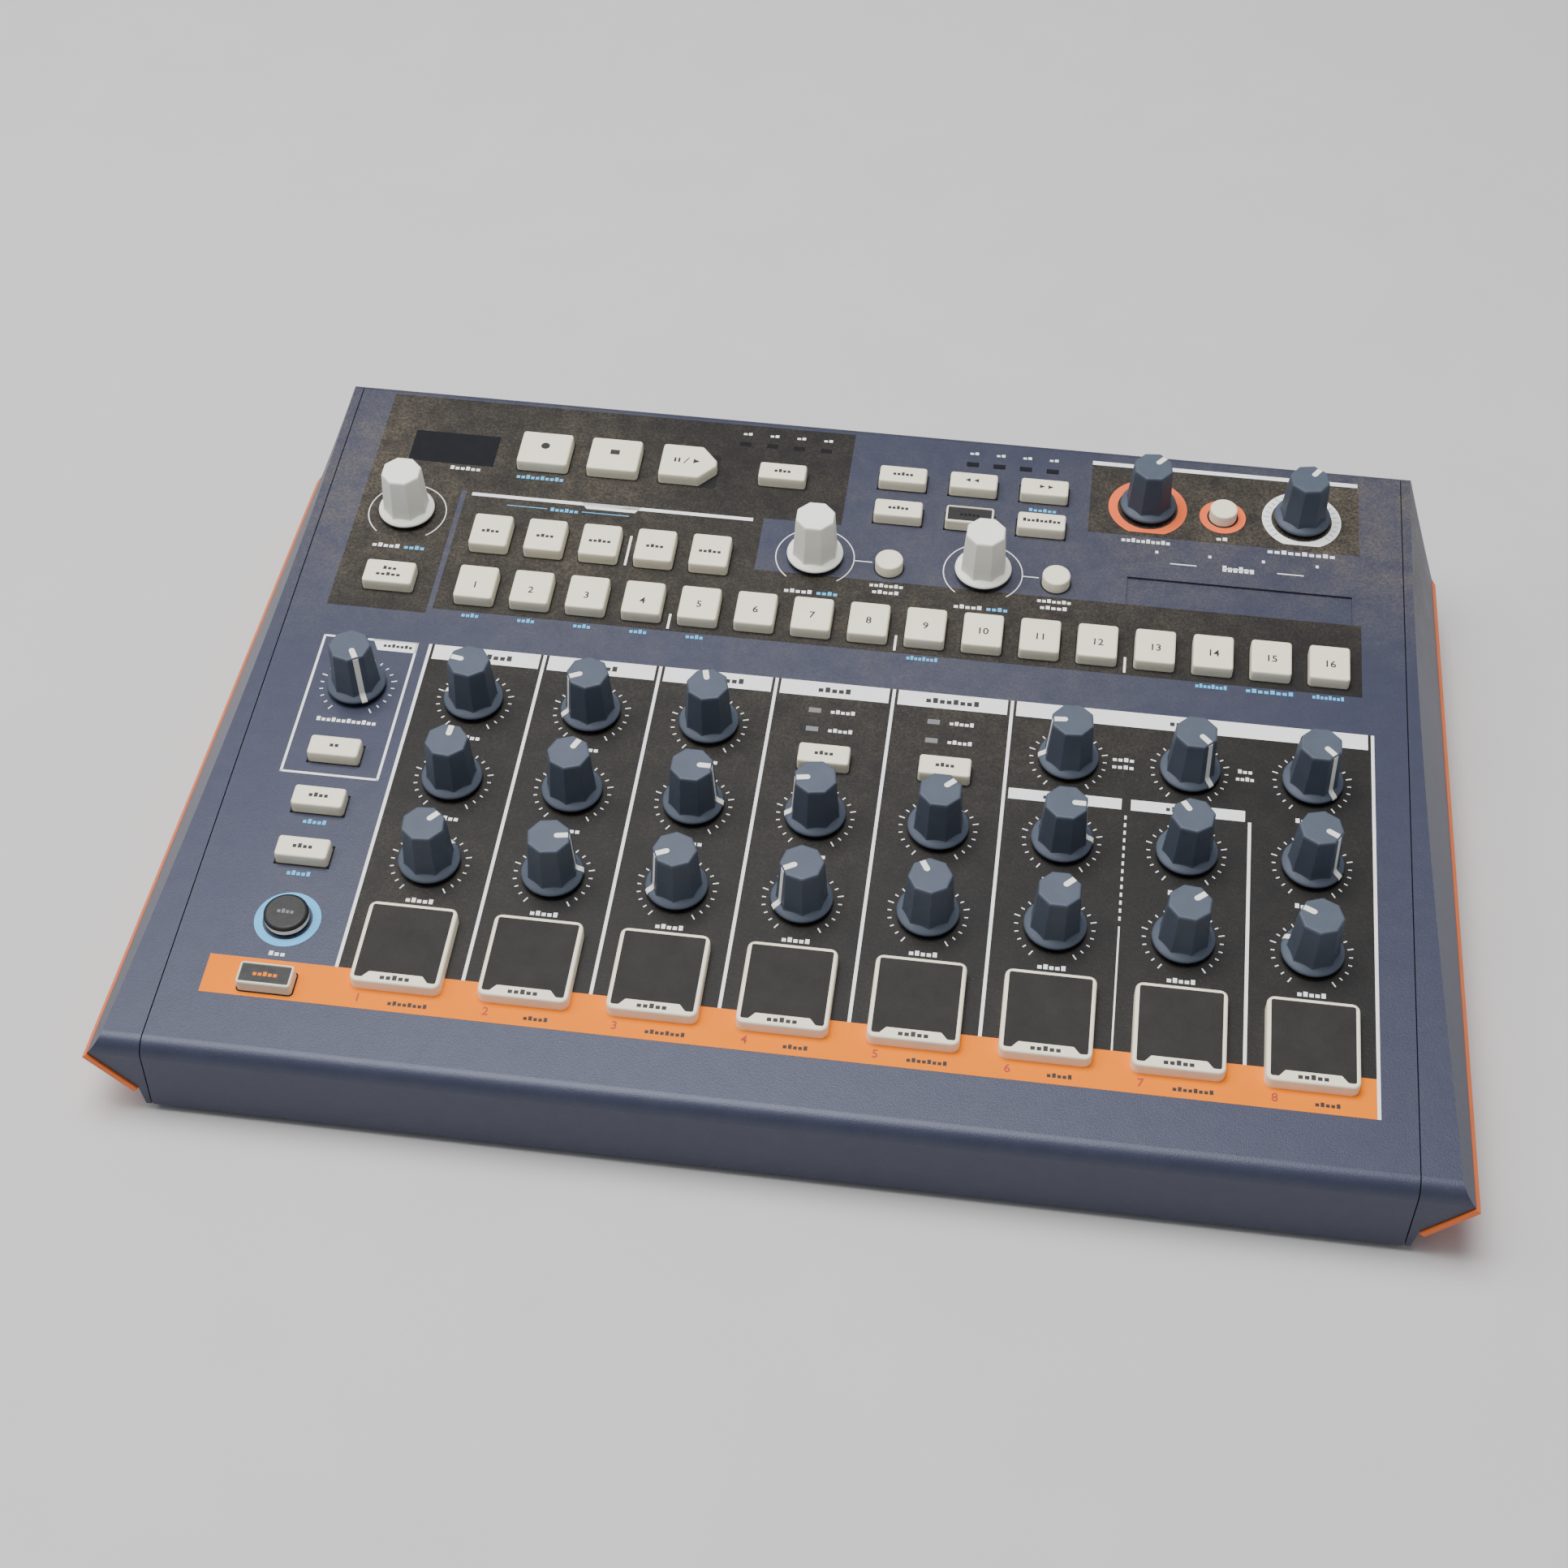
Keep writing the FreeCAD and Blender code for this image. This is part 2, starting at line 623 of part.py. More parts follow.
def corner_plan(inset, low, high):
    """Plan view of one side with its rear outer corner cut off."""
    edge = EDGE_X + 2 * PLATE_THICKNESS - inset
    rear = Y_REAR - inset
    cut_x = CORNER_CUT_X + 2 * PLATE_THICKNESS
    cut_y = CORNER_CUT_Y * cut_x / CORNER_CUT_X
    plan = outline(
        [
            (0, Y_FRONT - 10, low),
            (edge, Y_FRONT - 10, low),
            (edge, rear - cut_y, low),
            (edge - cut_x, rear, low),
            (0, rear, low),
        ]
    )
    return prism(plan, Vector(0, 0, high - low))


def cap_block(inset):
    """Right end cap as a solid block, drawn in by inset."""
    start = COVER_HALF + SEAM_GAP / 2
    body = prism(silhouette(inset, start), Vector(CAP_WIDTH, 0, 0))
    (edge_x, edge_z), (foot_x, foot_z) = undercut_points()
    front_view = outline(
        [
            (start - 1, Y_FRONT - 1, Z_UNDER - 1),
            (foot_x - BASE_STEP - inset, Y_FRONT - 1, Z_UNDER - 1),
            (foot_x - inset, Y_FRONT - 1, foot_z),
            (edge_x - inset, Y_FRONT - 1, edge_z),
            (edge_x - inset, Y_FRONT - 1, Z_REAR + 1),
            (start - 1, Y_FRONT - 1, Z_REAR + 1),
        ]
    )
    section = prism(front_view, Vector(0, CASE_DEPTH + 2, 0))
    plan = corner_plan(inset, Z_UNDER - 5, Z_REAR + 5)
    return body.common(section).common(facet_limit(inset)).common(plan)


def end_cap():
    """Right end cap: a moulded shell, open towards the tray."""
    hollow = cap_block(CAP_WALL)
    slab = Part.makeBox(4 * CAP_WIDTH, 2 * CASE_DEPTH, Z_REAR, Vector(COVER_HALF - 5, -CASE_DEPTH, Z_EDGE))
    hollow = hollow.common(slab)
    return cap_block(0).cut(hollow).removeSplitter()


def side_plate():
    """Right side plate: a flat strip under the overhang of the end cap."""
    (edge_x, edge_z), (foot_x, foot_z) = undercut_points()
    slope = Vector(edge_x - foot_x, 0, edge_z - foot_z).normalize()
    out = Vector(slope.z, 0, -slope.x)
    near = out * FIT_GAP
    far = out * (FIT_GAP + PLATE_THICKNESS)
    y = Y_FRONT - PLATE_FRONT_REVEAL
    edge = Vector(edge_x, y, edge_z)
    foot = Vector(foot_x, y, foot_z)
    strip = prism(outline([foot + near, edge + near, edge + far, foot + far]), Vector(0, CASE_DEPTH, 0))
    return strip.common(corner_plan(0, Z_UNDER - 5, Z_REAR + 5))


def mirrored(shape):
    """The same piece on the left side."""
    return shape.mirror(Vector(0, 0, 0), Vector(1, 0, 0))




def knob():
    """Knob about the z axis: tapered octagonal grip on a round skirt, pointer groove to +y, hub below."""
    skirt_top = SKIRT_GAP + SKIRT_THICKNESS
    waist = polygon(KNOB_WAIST_RADIUS, KNOB_SIDES, skirt_top)
    grip = tapered([waist, polygon(KNOB_TOP_RADIUS, KNOB_SIDES, KNOB_HEIGHT)])
    skirt = pillar(SKIRT_RADIUS, ROUND_SIDES, (0, 0), SKIRT_GAP, skirt_top)
    hub = pillar(HUB_RADIUS, HUB_SIDES, (0, 0), POT_TOP + RUN_GAP, SKIRT_GAP)
    waist = KNOB_WAIST_RADIUS * math.cos(math.pi / KNOB_SIDES)
    top = KNOB_TOP_RADIUS * math.cos(math.pi / KNOB_SIDES)
    d = POINTER_DEPTH
    h = KNOB_HEIGHT
    groove_side = outline(
        [
            (-POINTER_WIDTH / 2, 0, h - d),
            (-POINTER_WIDTH / 2, top - d, h - d),
            (-POINTER_WIDTH / 2, waist - d, skirt_top),
            (-POINTER_WIDTH / 2, waist + 1, skirt_top),
            (-POINTER_WIDTH / 2, waist + 1, h + 1),
            (-POINTER_WIDTH / 2, 0, h + 1),
        ]
    )
    groove = prism(groove_side, Vector(POINTER_WIDTH, 0, 0))
    return fuse([grip, skirt, hub]).cut(groove)


def place_knob(name, shape):
    """Turns a knob to its pointer angle, clockwise from the rear, and sets it in its place."""
    x, y = KNOBS[name]
    turned = shape.copy()
    spin = FreeCAD.Rotation(Vector(0, 0, 1), -POINTER_ANGLES[name])
    turned.Placement = FreeCAD.Placement(Vector(x, y, 0), spin)
    return on_panel(turned)


def pad_outline(size, corner, z):
    """Corners of the pad outline, cut off at the corners, about the z axis."""
    a = size[0] / 2
    b = size[1] / 2
    points = [
        (-a + corner, -b), (a - corner, -b), (a, -b + corner), (a, b - corner),
        (a - corner, b), (-a + corner, b), (-a, b - corner), (-a, -b + corner),
    ]
    return raised(points, z)


def pad():
    """Drum pad about the z axis: rim with a label tab at the front, sunk rubber face, lip and plunger."""
    lip_top = -COVER_WALL - RUN_GAP
    lip_low = lip_top - KEY_LIP_THICKNESS
    body = tapered(
        [
            pad_outline(PAD_SIZE, PAD_CORNER, lip_top),
            pad_outline(PAD_SIZE, PAD_CORNER, PAD_HEIGHT - KEY_BEVEL),
            pad_outline(grow(PAD_SIZE, -KEY_BEVEL), PAD_CORNER, PAD_HEIGHT),
        ]
    )
    lip = block(grow(PAD_SIZE, KEY_LIP), (0, 0), lip_low, lip_top)
    plunger_low = BOARD_TOP + SENSOR_HEIGHT + RUN_GAP + PAD_TRAVEL
    plunger = block((PAD_PLUNGER, PAD_PLUNGER), (0, 0), plunger_low, lip_low)
    a = PAD_SIZE[0] / 2 - PAD_RIM
    b = PAD_SIZE[1] / 2 - PAD_RIM
    tab = PAD_TAB_WIDTH / 2
    tab_y = -b + PAD_TAB_LENGTH
    well = flat(
        [
            (-a, -b), (-tab - PAD_TAB_SLOPE, -b), (-tab, tab_y), (tab, tab_y), (tab + PAD_TAB_SLOPE, -b),
            (a, -b), (a, b), (-a, b),
        ],
        PAD_HEIGHT - PAD_RECESS,
    )
    return fuse([body, lip, plunger]).cut(prism(well, Vector(0, 0, 2)))


def placed_pad(shape, place):
    """Sets a pad in its place on the panel."""
    copy = shape.copy()
    copy.Placement = FreeCAD.Placement(Vector(place[0], place[1], 0), FreeCAD.Rotation())
    return on_panel(copy)


def control_board():
    """Board under the panel that carries the potentiometers, switches and lamps."""
    size = (2 * BOARD_HALF, BOARD_ROWS[1] - BOARD_ROWS[0])
    centre = (0, sum(BOARD_ROWS) / 2)
    return on_panel(block(size, centre, BOARD_TOP - BOARD_THICKNESS, BOARD_TOP))


def potentiometers():
    """One potentiometer or encoder body under each knob."""
    size = (POT_SIZE, POT_SIZE)
    return [on_panel(block(size, place, BOARD_TOP, POT_TOP)) for place in KNOBS.values()]


def key_switches():
    """A push switch under each key and a pressure sensor under each pad."""
    switch = (SWITCH_SIZE, SWITCH_SIZE)
    sensor = (SENSOR_SIZE, SENSOR_SIZE)
    bodies = [block(switch, place, BOARD_TOP, SWITCH_TOP) for place in SWITCHES]
    bodies += [block(sensor, place, BOARD_TOP, BOARD_TOP + SENSOR_HEIGHT) for place in PADS]
    return [on_panel(body) for body in bodies]


def status_windows():
    """Display window and the small lamp windows, set flush in the panel."""
    top = -WINDOW_RECESS
    low = top - WINDOW_THICKNESS
    windows = [block(DISPLAY_SIZE, DISPLAY_PLACE, low, top)]
    windows += [block(LAMP_SIZE, place, low, top) for place in LAMPS]
    return [on_panel(window) for window in windows]


def jack_board():
    """Board behind the rear wall that carries the sockets."""
    corner = Vector(-JACK_BOARD_WIDTH / 2, SOCKET_BACK - JACK_BOARD_DEPTH, Z_JACK_BOARD)
    return Part.makeBox(JACK_BOARD_WIDTH, JACK_BOARD_DEPTH, BOARD_THICKNESS, corner)


def socket_body(x, width, depth, half_height):
    """Moulded body of a socket, standing on the jack board behind the rear wall."""
    low = Z_JACK_BOARD + BOARD_THICKNESS
    corner = Vector(x - width / 2, SOCKET_BACK - depth, low)
    return Part.makeBox(width, depth, Z_SOCKET + half_height - low, corner)


def tube(x, radius, start, end):
    """Round bar along Y at the height of the sockets."""
    turns = [2 * math.pi * (i + 0.5) / ROUND_SIDES for i in range(ROUND_SIDES)]
    ring = [(x + radius * math.cos(a), start, Z_SOCKET + radius * math.sin(a)) for a in turns]
    return prism(outline(ring), Vector(0, end - start, 0))


def mouth(x, size, start, end):
    """Box along Y at the height of the sockets."""
    corner = Vector(x - size[0] / 2, start, Z_SOCKET - size[1] / 2)
    return Part.makeBox(size[0], end - start, size[1], corner)


def jack(x, bore, collar, body, depth):
    """Round jack socket: body and collar with one bore."""
    face = Y_REAR + SOCKET_REVEAL
    shell = socket_body(x, body[0], body[1], body[0] / 2)
    shell = fuse([shell, tube(x, collar, SOCKET_BACK - 1, face)])
    return shell.cut(tube(x, bore, face - depth, face + 1))


def din_socket(x):
    """Five-pin style round socket with its ring groove."""
    body = socket_body(x, DIN_BODY[0], DIN_BODY[1], DIN_BODY[0] / 2)
    shell = fuse([body, tube(x, DIN_RADIUS, SOCKET_BACK - 1, Y_REAR)])
    ring = tube(x, DIN_GROOVE[1], Y_REAR - DIN_DEPTH, Y_REAR + 1)
    return shell.cut(ring.cut(tube(x, DIN_GROOVE[0], Y_REAR - DIN_DEPTH - 1, Y_REAR + 2)))


def usb_socket():
    """Square data socket with its tongue."""
    shell = fuse(
        [
            socket_body(USB_X, USB_FACE[0], USB_BODY_DEPTH, USB_FACE[1] / 2),
            mouth(USB_X, USB_FACE, SOCKET_BACK - 1, Y_REAR),
        ]
    )
    hollow = mouth(USB_X, USB_MOUTH, Y_REAR - USB_DEPTH, Y_REAR + 1)
    tongue = mouth(USB_X, USB_TONGUE, Y_REAR - USB_DEPTH - 1, Y_REAR - 1)
    return shell.cut(hollow.cut(tongue))


def power_inlet():
    """Round power inlet with its centre pin."""
    shell = fuse(
        [
            socket_body(POWER_INLET_X, POWER_INLET_FACE[0], USB_BODY_DEPTH, POWER_INLET_FACE[1] / 2),
            mouth(POWER_INLET_X, POWER_INLET_FACE, SOCKET_BACK - 1, Y_REAR),
        ]
    )
    hollow = tube(POWER_INLET_X, POWER_INLET_BORE, Y_REAR - USB_DEPTH, Y_REAR + 1)
    return shell.cut(hollow.cut(tube(POWER_INLET_X, POWER_INLET_PIN, Y_REAR - USB_DEPTH - 1, Y_REAR - 1)))


def power_switch_body():
    """Body of the power switch, behind the button."""
    depth = MINI_BODY[1]
    front = SOCKET_BACK - KEY_LIP_THICKNESS - POWER_BUTTON_TRAVEL - 2 * RUN_GAP
    low = Z_JACK_BOARD + BOARD_THICKNESS
    width = POWER_BUTTON_SIZE[0]
    top = Z_SOCKET + POWER_BUTTON_SIZE[1] / 2
    return Part.makeBox(width, depth, top - low, Vector(POWER_BUTTON_X - width / 2, front - depth, low))


def power_button():
    """Square power button that stands out of the rear wall, with its lip inside."""
    back = SOCKET_BACK - KEY_LIP_THICKNESS
    wide = grow(POWER_BUTTON_SIZE, KEY_LIP)
    cap = mouth(POWER_BUTTON_X, POWER_BUTTON_SIZE, back, Y_REAR + POWER_BUTTON_REVEAL)
    lip = mouth(POWER_BUTTON_X, wide, back - FIT_GAP, SOCKET_BACK - FIT_GAP)
    return fuse([cap, lip])


def rear_sockets():
    """All sockets on the jack board and the body of the power switch."""
    sockets = [jack(x, PHONE_BORE, PHONE_COLLAR, PHONE_BODY, PHONE_DEPTH) for x in PHONE_SOCKETS_X]
    sockets += [jack(x, MINI_BORE, MINI_COLLAR, MINI_BODY, MINI_DEPTH) for x in MINI_SOCKETS_X]
    sockets += [din_socket(x) for x in DIN_SOCKETS_X]
    return sockets + [usb_socket(), power_inlet(), power_switch_body()]


def rubber_feet():
    """Four round feet under the tray."""
    x = COVER_HALF - FOOT_INSET_X
    rows = (Y_FRONT + FOOT_INSET_Y, Y_REAR - FOOT_INSET_Y)
    return [pillar(FOOT_RADIUS, ROUND_SIDES, (side * x, y), 0, FOOT_HEIGHT) for side in (-1, 1) for y in rows]


def case_screw(place):
    """Pan-head screw through the tray into a boss of the cover."""
    head = pillar(SCREW_HEAD_RADIUS, SCREW_HEAD_SIDES, place, Z_UNDER - SCREW_HEAD_HEIGHT, Z_UNDER)
    shank = pillar(SCREW_RADIUS, POST_SIDES, place, Z_UNDER, Z_UNDER + SCREW_LENGTH)
    return fuse([head, shank])


def save_keys():
    """Key banks: keys of one kind, which move alike, share a node."""
    steps = [on_panel(square_key(rectangle, STEP_KEY_SIZE, place)) for place in STEP_KEYS]
    half = STEP_COUNT // 2
    save("step_keys_1_8", steps[:half])
    save("step_keys_9_16", steps[half:])
    save("mode_keys", [on_panel(square_key(rectangle, STEP_KEY_SIZE, place)) for place in MODE_KEYS])
    transport = [square_key(rectangle, TRANSPORT_KEY_SIZE, place) for place in (RECORD_KEY, STOP_KEY)]
    transport += [square_key(arrow, PLAY_KEY_SIZE, PLAY_KEY), square_key(rectangle, BAR_KEY_SIZE, SYNC_KEY)]
    save("transport_keys", [on_panel(key) for key in transport])
    edit = [square_key(rectangle, BAR_KEY_SIZE, place) for place in EDIT_KEYS]
    edit[EDIT_INSET_INDEX] = inset_key(BAR_KEY_SIZE, EDIT_KEYS[EDIT_INSET_INDEX])
    save("edit_keys", [on_panel(key) for key in edit])
    left = [square_key(rectangle, TAP_KEY_SIZE, TAP_KEY)]
    left += [square_key(rectangle, BAR_KEY_SIZE, place) for place in LEFT_KEYS]
    save("left_column_keys", [on_panel(key) for key in left])
    save("round_keys", [on_panel(round_key(ROUND_KEY_RADIUS, place)) for place in ROUND_KEYS])
    save("type_keys", [on_panel(square_key(rectangle, BAR_KEY_SIZE, place)) for place in TYPE_KEYS])
    save("shift_key", on_panel(round_key(SHIFT_KEY_RADIUS, SHIFT_KEY, True)))
    save("colour_key", on_panel(inset_key(BAR_KEY_SIZE, COLOUR_KEY)))


def main():
    """Writes every node."""
    os.makedirs("parts", exist_ok=True)
    save("top_cover", top_cover())
    save("bottom_tray", bottom_tray())
    cap = end_cap()
    save("right_end_cap", cap)
    save("left_end_cap", mirrored(cap))
    plate = side_plate()
    save("side_plates", [plate, mirrored(plate)])
    save("control_board", control_board())
    save("potentiometers", potentiometers())
    save("key_switches", key_switches())
    save("status_windows", status_windows())
    save("jack_board", jack_board())
    save("rear_sockets", rear_sockets())
    save("power_button", power_button())
    save("rubber_feet", rubber_feet())
    save("case_screws", [case_screw(place) for place in boss_places()])
    one_knob = knob()
    for name in KNOBS:
        save(name, place_knob(name, one_knob))
    one_pad = pad()
    for channel, place in enumerate(PADS, 1):
        save("pad_%d" % channel, placed_pad(one_pad, place))
    save_keys()


main()
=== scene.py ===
"""Looks of the drum machine: finishes, prints, knobs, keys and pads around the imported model.

Lengths on the panel are in millimetres in the panel frame: x to the right, y up the slope from the
row of step keys, z out of the panel. Everything that is made is placed in metres in the world.
"""

import json
import math

import bpy
from mathutils import Matrix, Vector


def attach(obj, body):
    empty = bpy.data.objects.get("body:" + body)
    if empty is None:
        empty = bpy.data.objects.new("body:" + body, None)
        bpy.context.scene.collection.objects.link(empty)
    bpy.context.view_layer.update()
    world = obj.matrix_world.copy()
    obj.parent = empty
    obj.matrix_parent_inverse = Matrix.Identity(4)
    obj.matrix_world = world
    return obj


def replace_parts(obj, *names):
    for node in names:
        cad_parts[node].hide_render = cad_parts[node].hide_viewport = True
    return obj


MM = 0.001
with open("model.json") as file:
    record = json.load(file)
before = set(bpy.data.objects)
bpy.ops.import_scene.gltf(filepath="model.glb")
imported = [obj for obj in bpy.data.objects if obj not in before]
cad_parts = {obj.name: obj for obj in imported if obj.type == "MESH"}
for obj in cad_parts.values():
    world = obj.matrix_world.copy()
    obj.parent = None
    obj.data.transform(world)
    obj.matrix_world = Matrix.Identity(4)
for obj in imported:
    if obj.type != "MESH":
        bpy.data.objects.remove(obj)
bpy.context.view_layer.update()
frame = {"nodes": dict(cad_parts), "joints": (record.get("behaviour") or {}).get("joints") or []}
JOINTS = {joint["name"]: joint for joint in frame["joints"]}

# Heights above the panel of what is printed on it
ZONE_HEIGHT = 0.03
STRIP_HEIGHT = 0.05
LINE_HEIGHT = 0.07
TEXT_HEIGHT = 0.09
INK_ABOVE_KEY = 0.03

# Camera, fitted to the photograph: places in metres, roll in degrees, lens and sensor in millimetres
CAMERA_PLACE = Vector((0.04779, -0.50707, 0.53242))
CAMERA_TARGET = Vector((-0.00992, -0.01405, 0.03))
CAMERA_ROLL = 0.994
CAMERA_LENS = 59.35
CAMERA_SENSOR = 36.0

# Colours, sRGB out of 255
CASE_BLUE = (56, 60, 80)
ZONE_BLACK = (27, 26, 26)
KEY_BEIGE = (252, 243, 216)
KNOB_GREY = (76, 84, 97)
KNOB_CREAM = (255, 253, 240)
PRINT_WHITE = (255, 255, 252)
PRINT_BLUE = (88, 182, 236)
PRINT_ORANGE = (255, 134, 0)
PRINT_RED = (176, 52, 36)
PLATE_ORANGE = (222, 104, 30)
RING_ORANGE = (250, 112, 62)
PAD_CHARCOAL = (46, 44, 42)
DUST_BROWN = (112, 102, 86)
INK_DARK = (38, 36, 36)


def linear(colour):
    """Linear value of an sRGB colour."""
    values = []
    for c in colour:
        c = c / 255
        values.append(c / 12.92 if c <= 0.04045 else ((c + 0.055) / 1.055) ** 2.4)
    return (*values, 1.0)


# Panel frame
NORMAL = -Vector(JOINTS["volume_knob_turn"]["axis"])
ORIGIN = Vector(JOINTS["step_keys_1_8_press"]["pos_m"])
ORIGIN.x = 0.0
UP = Vector((0.0, NORMAL.z, -NORMAL.y))
PANEL = Matrix(
    (
        (MM, 0.0, 0.0, ORIGIN.x),
        (0.0, UP.y * MM, NORMAL.y * MM, ORIGIN.y),
        (0.0, UP.z * MM, NORMAL.z * MM, ORIGIN.z),
        (0.0, 0.0, 0.0, 1.0),
    )
)
TO_PANEL = PANEL.inverted()


def islands(node):
    """Corners of each separate solid of a node, in the panel frame."""
    mesh = frame["nodes"][node].data
    keys = [tuple(round(c * 1e5) for c in v.co) for v in mesh.vertices]
    parent = {key: key for key in keys}

    def root(key):
        while parent[key] != key:
            parent[key] = parent[parent[key]]
            key = parent[key]
        return key

    for polygon in mesh.polygons:
        first = root(keys[polygon.vertices[0]])
        for i in polygon.vertices[1:]:
            parent[root(keys[i])] = first
    groups = {}
    for v, key in zip(mesh.vertices, keys):
        groups.setdefault(root(key), []).append(TO_PANEL @ v.co)
    return list(groups.values())


def crown(points):
    """Centre, size and height of what stands out of the panel: (x, y), (width, depth), top."""
    above = [p for p in points if p.z > 0.5]
    xs = [p.x for p in above]
    ys = [p.y for p in above]
    centre = ((min(xs) + max(xs)) / 2, (min(ys) + max(ys)) / 2)
    return centre, (max(xs) - min(xs), max(ys) - min(ys)), max(p.z for p in above)


def crowns(node):
    """Crown of each solid of a node, from the rear to the front and from left to right."""
    found = [crown(points) for points in islands(node)]
    return sorted(found, key=lambda c: (-round(c[0][1]), c[0][0]))


def knob_place(node):
    """Place of a knob's axis on the panel."""
    place = TO_PANEL @ Vector(JOINTS[node + "_turn"]["pos_m"])
    return place.x, place.y


def knob_angle(node):
    """Angle of a knob's pointer at rest, clockwise from the rear."""
    limits = JOINTS[node + "_turn"].get("range_deg")
    if not limits or JOINTS[node + "_turn"].get("continuous"):
        return 0.0
    return -(limits[0] + limits[1]) / 2


KNOBS = [name[: -len("_turn")] for name in JOINTS if name.endswith("_turn")]
CREAM_KNOBS = ("rate_knob", "swing_knob", "random_knob")
CHANNEL_X = [knob_place("channel_%d_level_knob" % c)[0] for c in range(1, 9)]
PITCH = CHANNEL_X[1] - CHANNEL_X[0]
UPPER_Y = knob_place("channel_1_upper_knob")[1]
MIDDLE_Y = knob_place("channel_1_middle_knob")[1]
KEYS = {
    node: crowns(node)
    for node in (
        "step_keys_1_8", "step_keys_9_16", "mode_keys", "transport_keys", "edit_keys",
        "left_column_keys", "round_keys", "type_keys", "shift_key", "colour_key",
    )
}
STEPS = KEYS["step_keys_1_8"] + KEYS["step_keys_9_16"]


# Materials
def tree_of(name):
    """New material with its node tree, its main shader and a function that adds nodes."""
    material = bpy.data.materials.new(name)
    material.use_nodes = True
    nodes = material.node_tree.nodes
    shader = nodes["Principled BSDF"]

    def add(kind, links=(), **values):
        node = nodes.new(kind)
        for key, value in values.items():
            setattr(node, key, value)
        for socket, source in links:
            if hasattr(source, "is_output"):
                material.node_tree.links.new(source, node.inputs[socket])
            else:
                node.inputs[socket].default_value = source
        return node

    return material, shader, add


def wire(material, source, target):
    """Links two sockets."""
    material.node_tree.links.new(source, target)


def blend_colours(add, factor, first, second):
    """Colour between two, by a factor."""
    mix = add("ShaderNodeMix", data_type="RGBA")
    tree = mix.id_data
    for socket, value in (("Factor", factor), ("A", first), ("B", second)):
        inputs = [s for s in mix.inputs if s.name == socket]
        slot = inputs[0] if socket == "Factor" else [s for s in inputs if s.type == "RGBA"][0]
        if hasattr(value, "is_output"):
            tree.links.new(value, slot)
        else:
            slot.default_value = value
    return [s for s in mix.outputs if s.type == "RGBA"][0]


def noise(add, place, scale, detail=4.0, roughness=0.6):
    """Fractal noise at a place, with the given number of cells per metre."""
    links = (("Vector", place), ("Scale", scale), ("Detail", detail), ("Roughness", roughness))
    return add("ShaderNodeTexNoise", links).outputs["Fac"]


def ramp(add, value, low, high, start=0.0, end=1.0):
    """Value mapped from low..high to start..end."""
    links = (("Value", value), ("From Min", low), ("From Max", high), ("To Min", start), ("To Max", end))
    return add("ShaderNodeMapRange", links, clamp=True).outputs["Result"]


def maths(add, operation, first, second):
    """One arithmetic step."""
    return add("ShaderNodeMath", ((0, first), (1, second)), operation=operation).outputs[0]


# Dusty places of the panel: centre and radius in metres, strength
DUST_SPOTS = (
    ((-0.153, 0.100, 0.045), 0.045, 1.1),
    ((-0.150, 0.060, 0.042), 0.050, 0.8),
    ((-0.090, 0.105, 0.045), 0.045, 0.55),
    ((-0.085, 0.060, 0.042), 0.055, 0.55),
    ((0.100, 0.095, 0.045), 0.050, 0.85),
    ((0.160, 0.085, 0.045), 0.045, 1.0),
    ((0.150, 0.110, 0.045), 0.040, 0.9),
    ((0.050, 0.050, 0.040), 0.090, 0.35),
    ((-0.020, 0.040, 0.040), 0.120, 0.30),
    ((-0.105, -0.060, 0.030), 0.040, 0.25),
)
DUST_EVERYWHERE = 0.12


def dust_mask(add, place):
    """How dusty a point of the panel is, from spots and noise."""
    total = DUST_EVERYWHERE
    for centre, radius, strength in DUST_SPOTS:
        links = ((0, place), (1, centre))
        distance = add("ShaderNodeVectorMath", links, operation="DISTANCE").outputs["Value"]
        near = ramp(add, distance, 0.0, radius, strength, 0.0)
        total = maths(add, "ADD", total, near)
    cloud = ramp(add, noise(add, place, 110.0, 7.0, 0.75), 0.36, 0.66, 0.25, 1.0)
    fine = ramp(add, noise(add, place, 1300.0, 3.0, 0.7), 0.40, 0.66, 0.25, 1.0)
    film = maths(add, "MULTIPLY", ramp(add, total, 0.0, 1.2), maths(add, "MULTIPLY", cloud, fine))
    speck = ramp(add, noise(add, place, 2300.0, 1.0, 0.5), 0.70, 0.76, 0.0, 0.55)
    specks = maths(add, "MULTIPLY", speck, ramp(add, total, 0.0, 0.4, 0.4, 1.0))
    return maths(add, "MAXIMUM", film, specks)


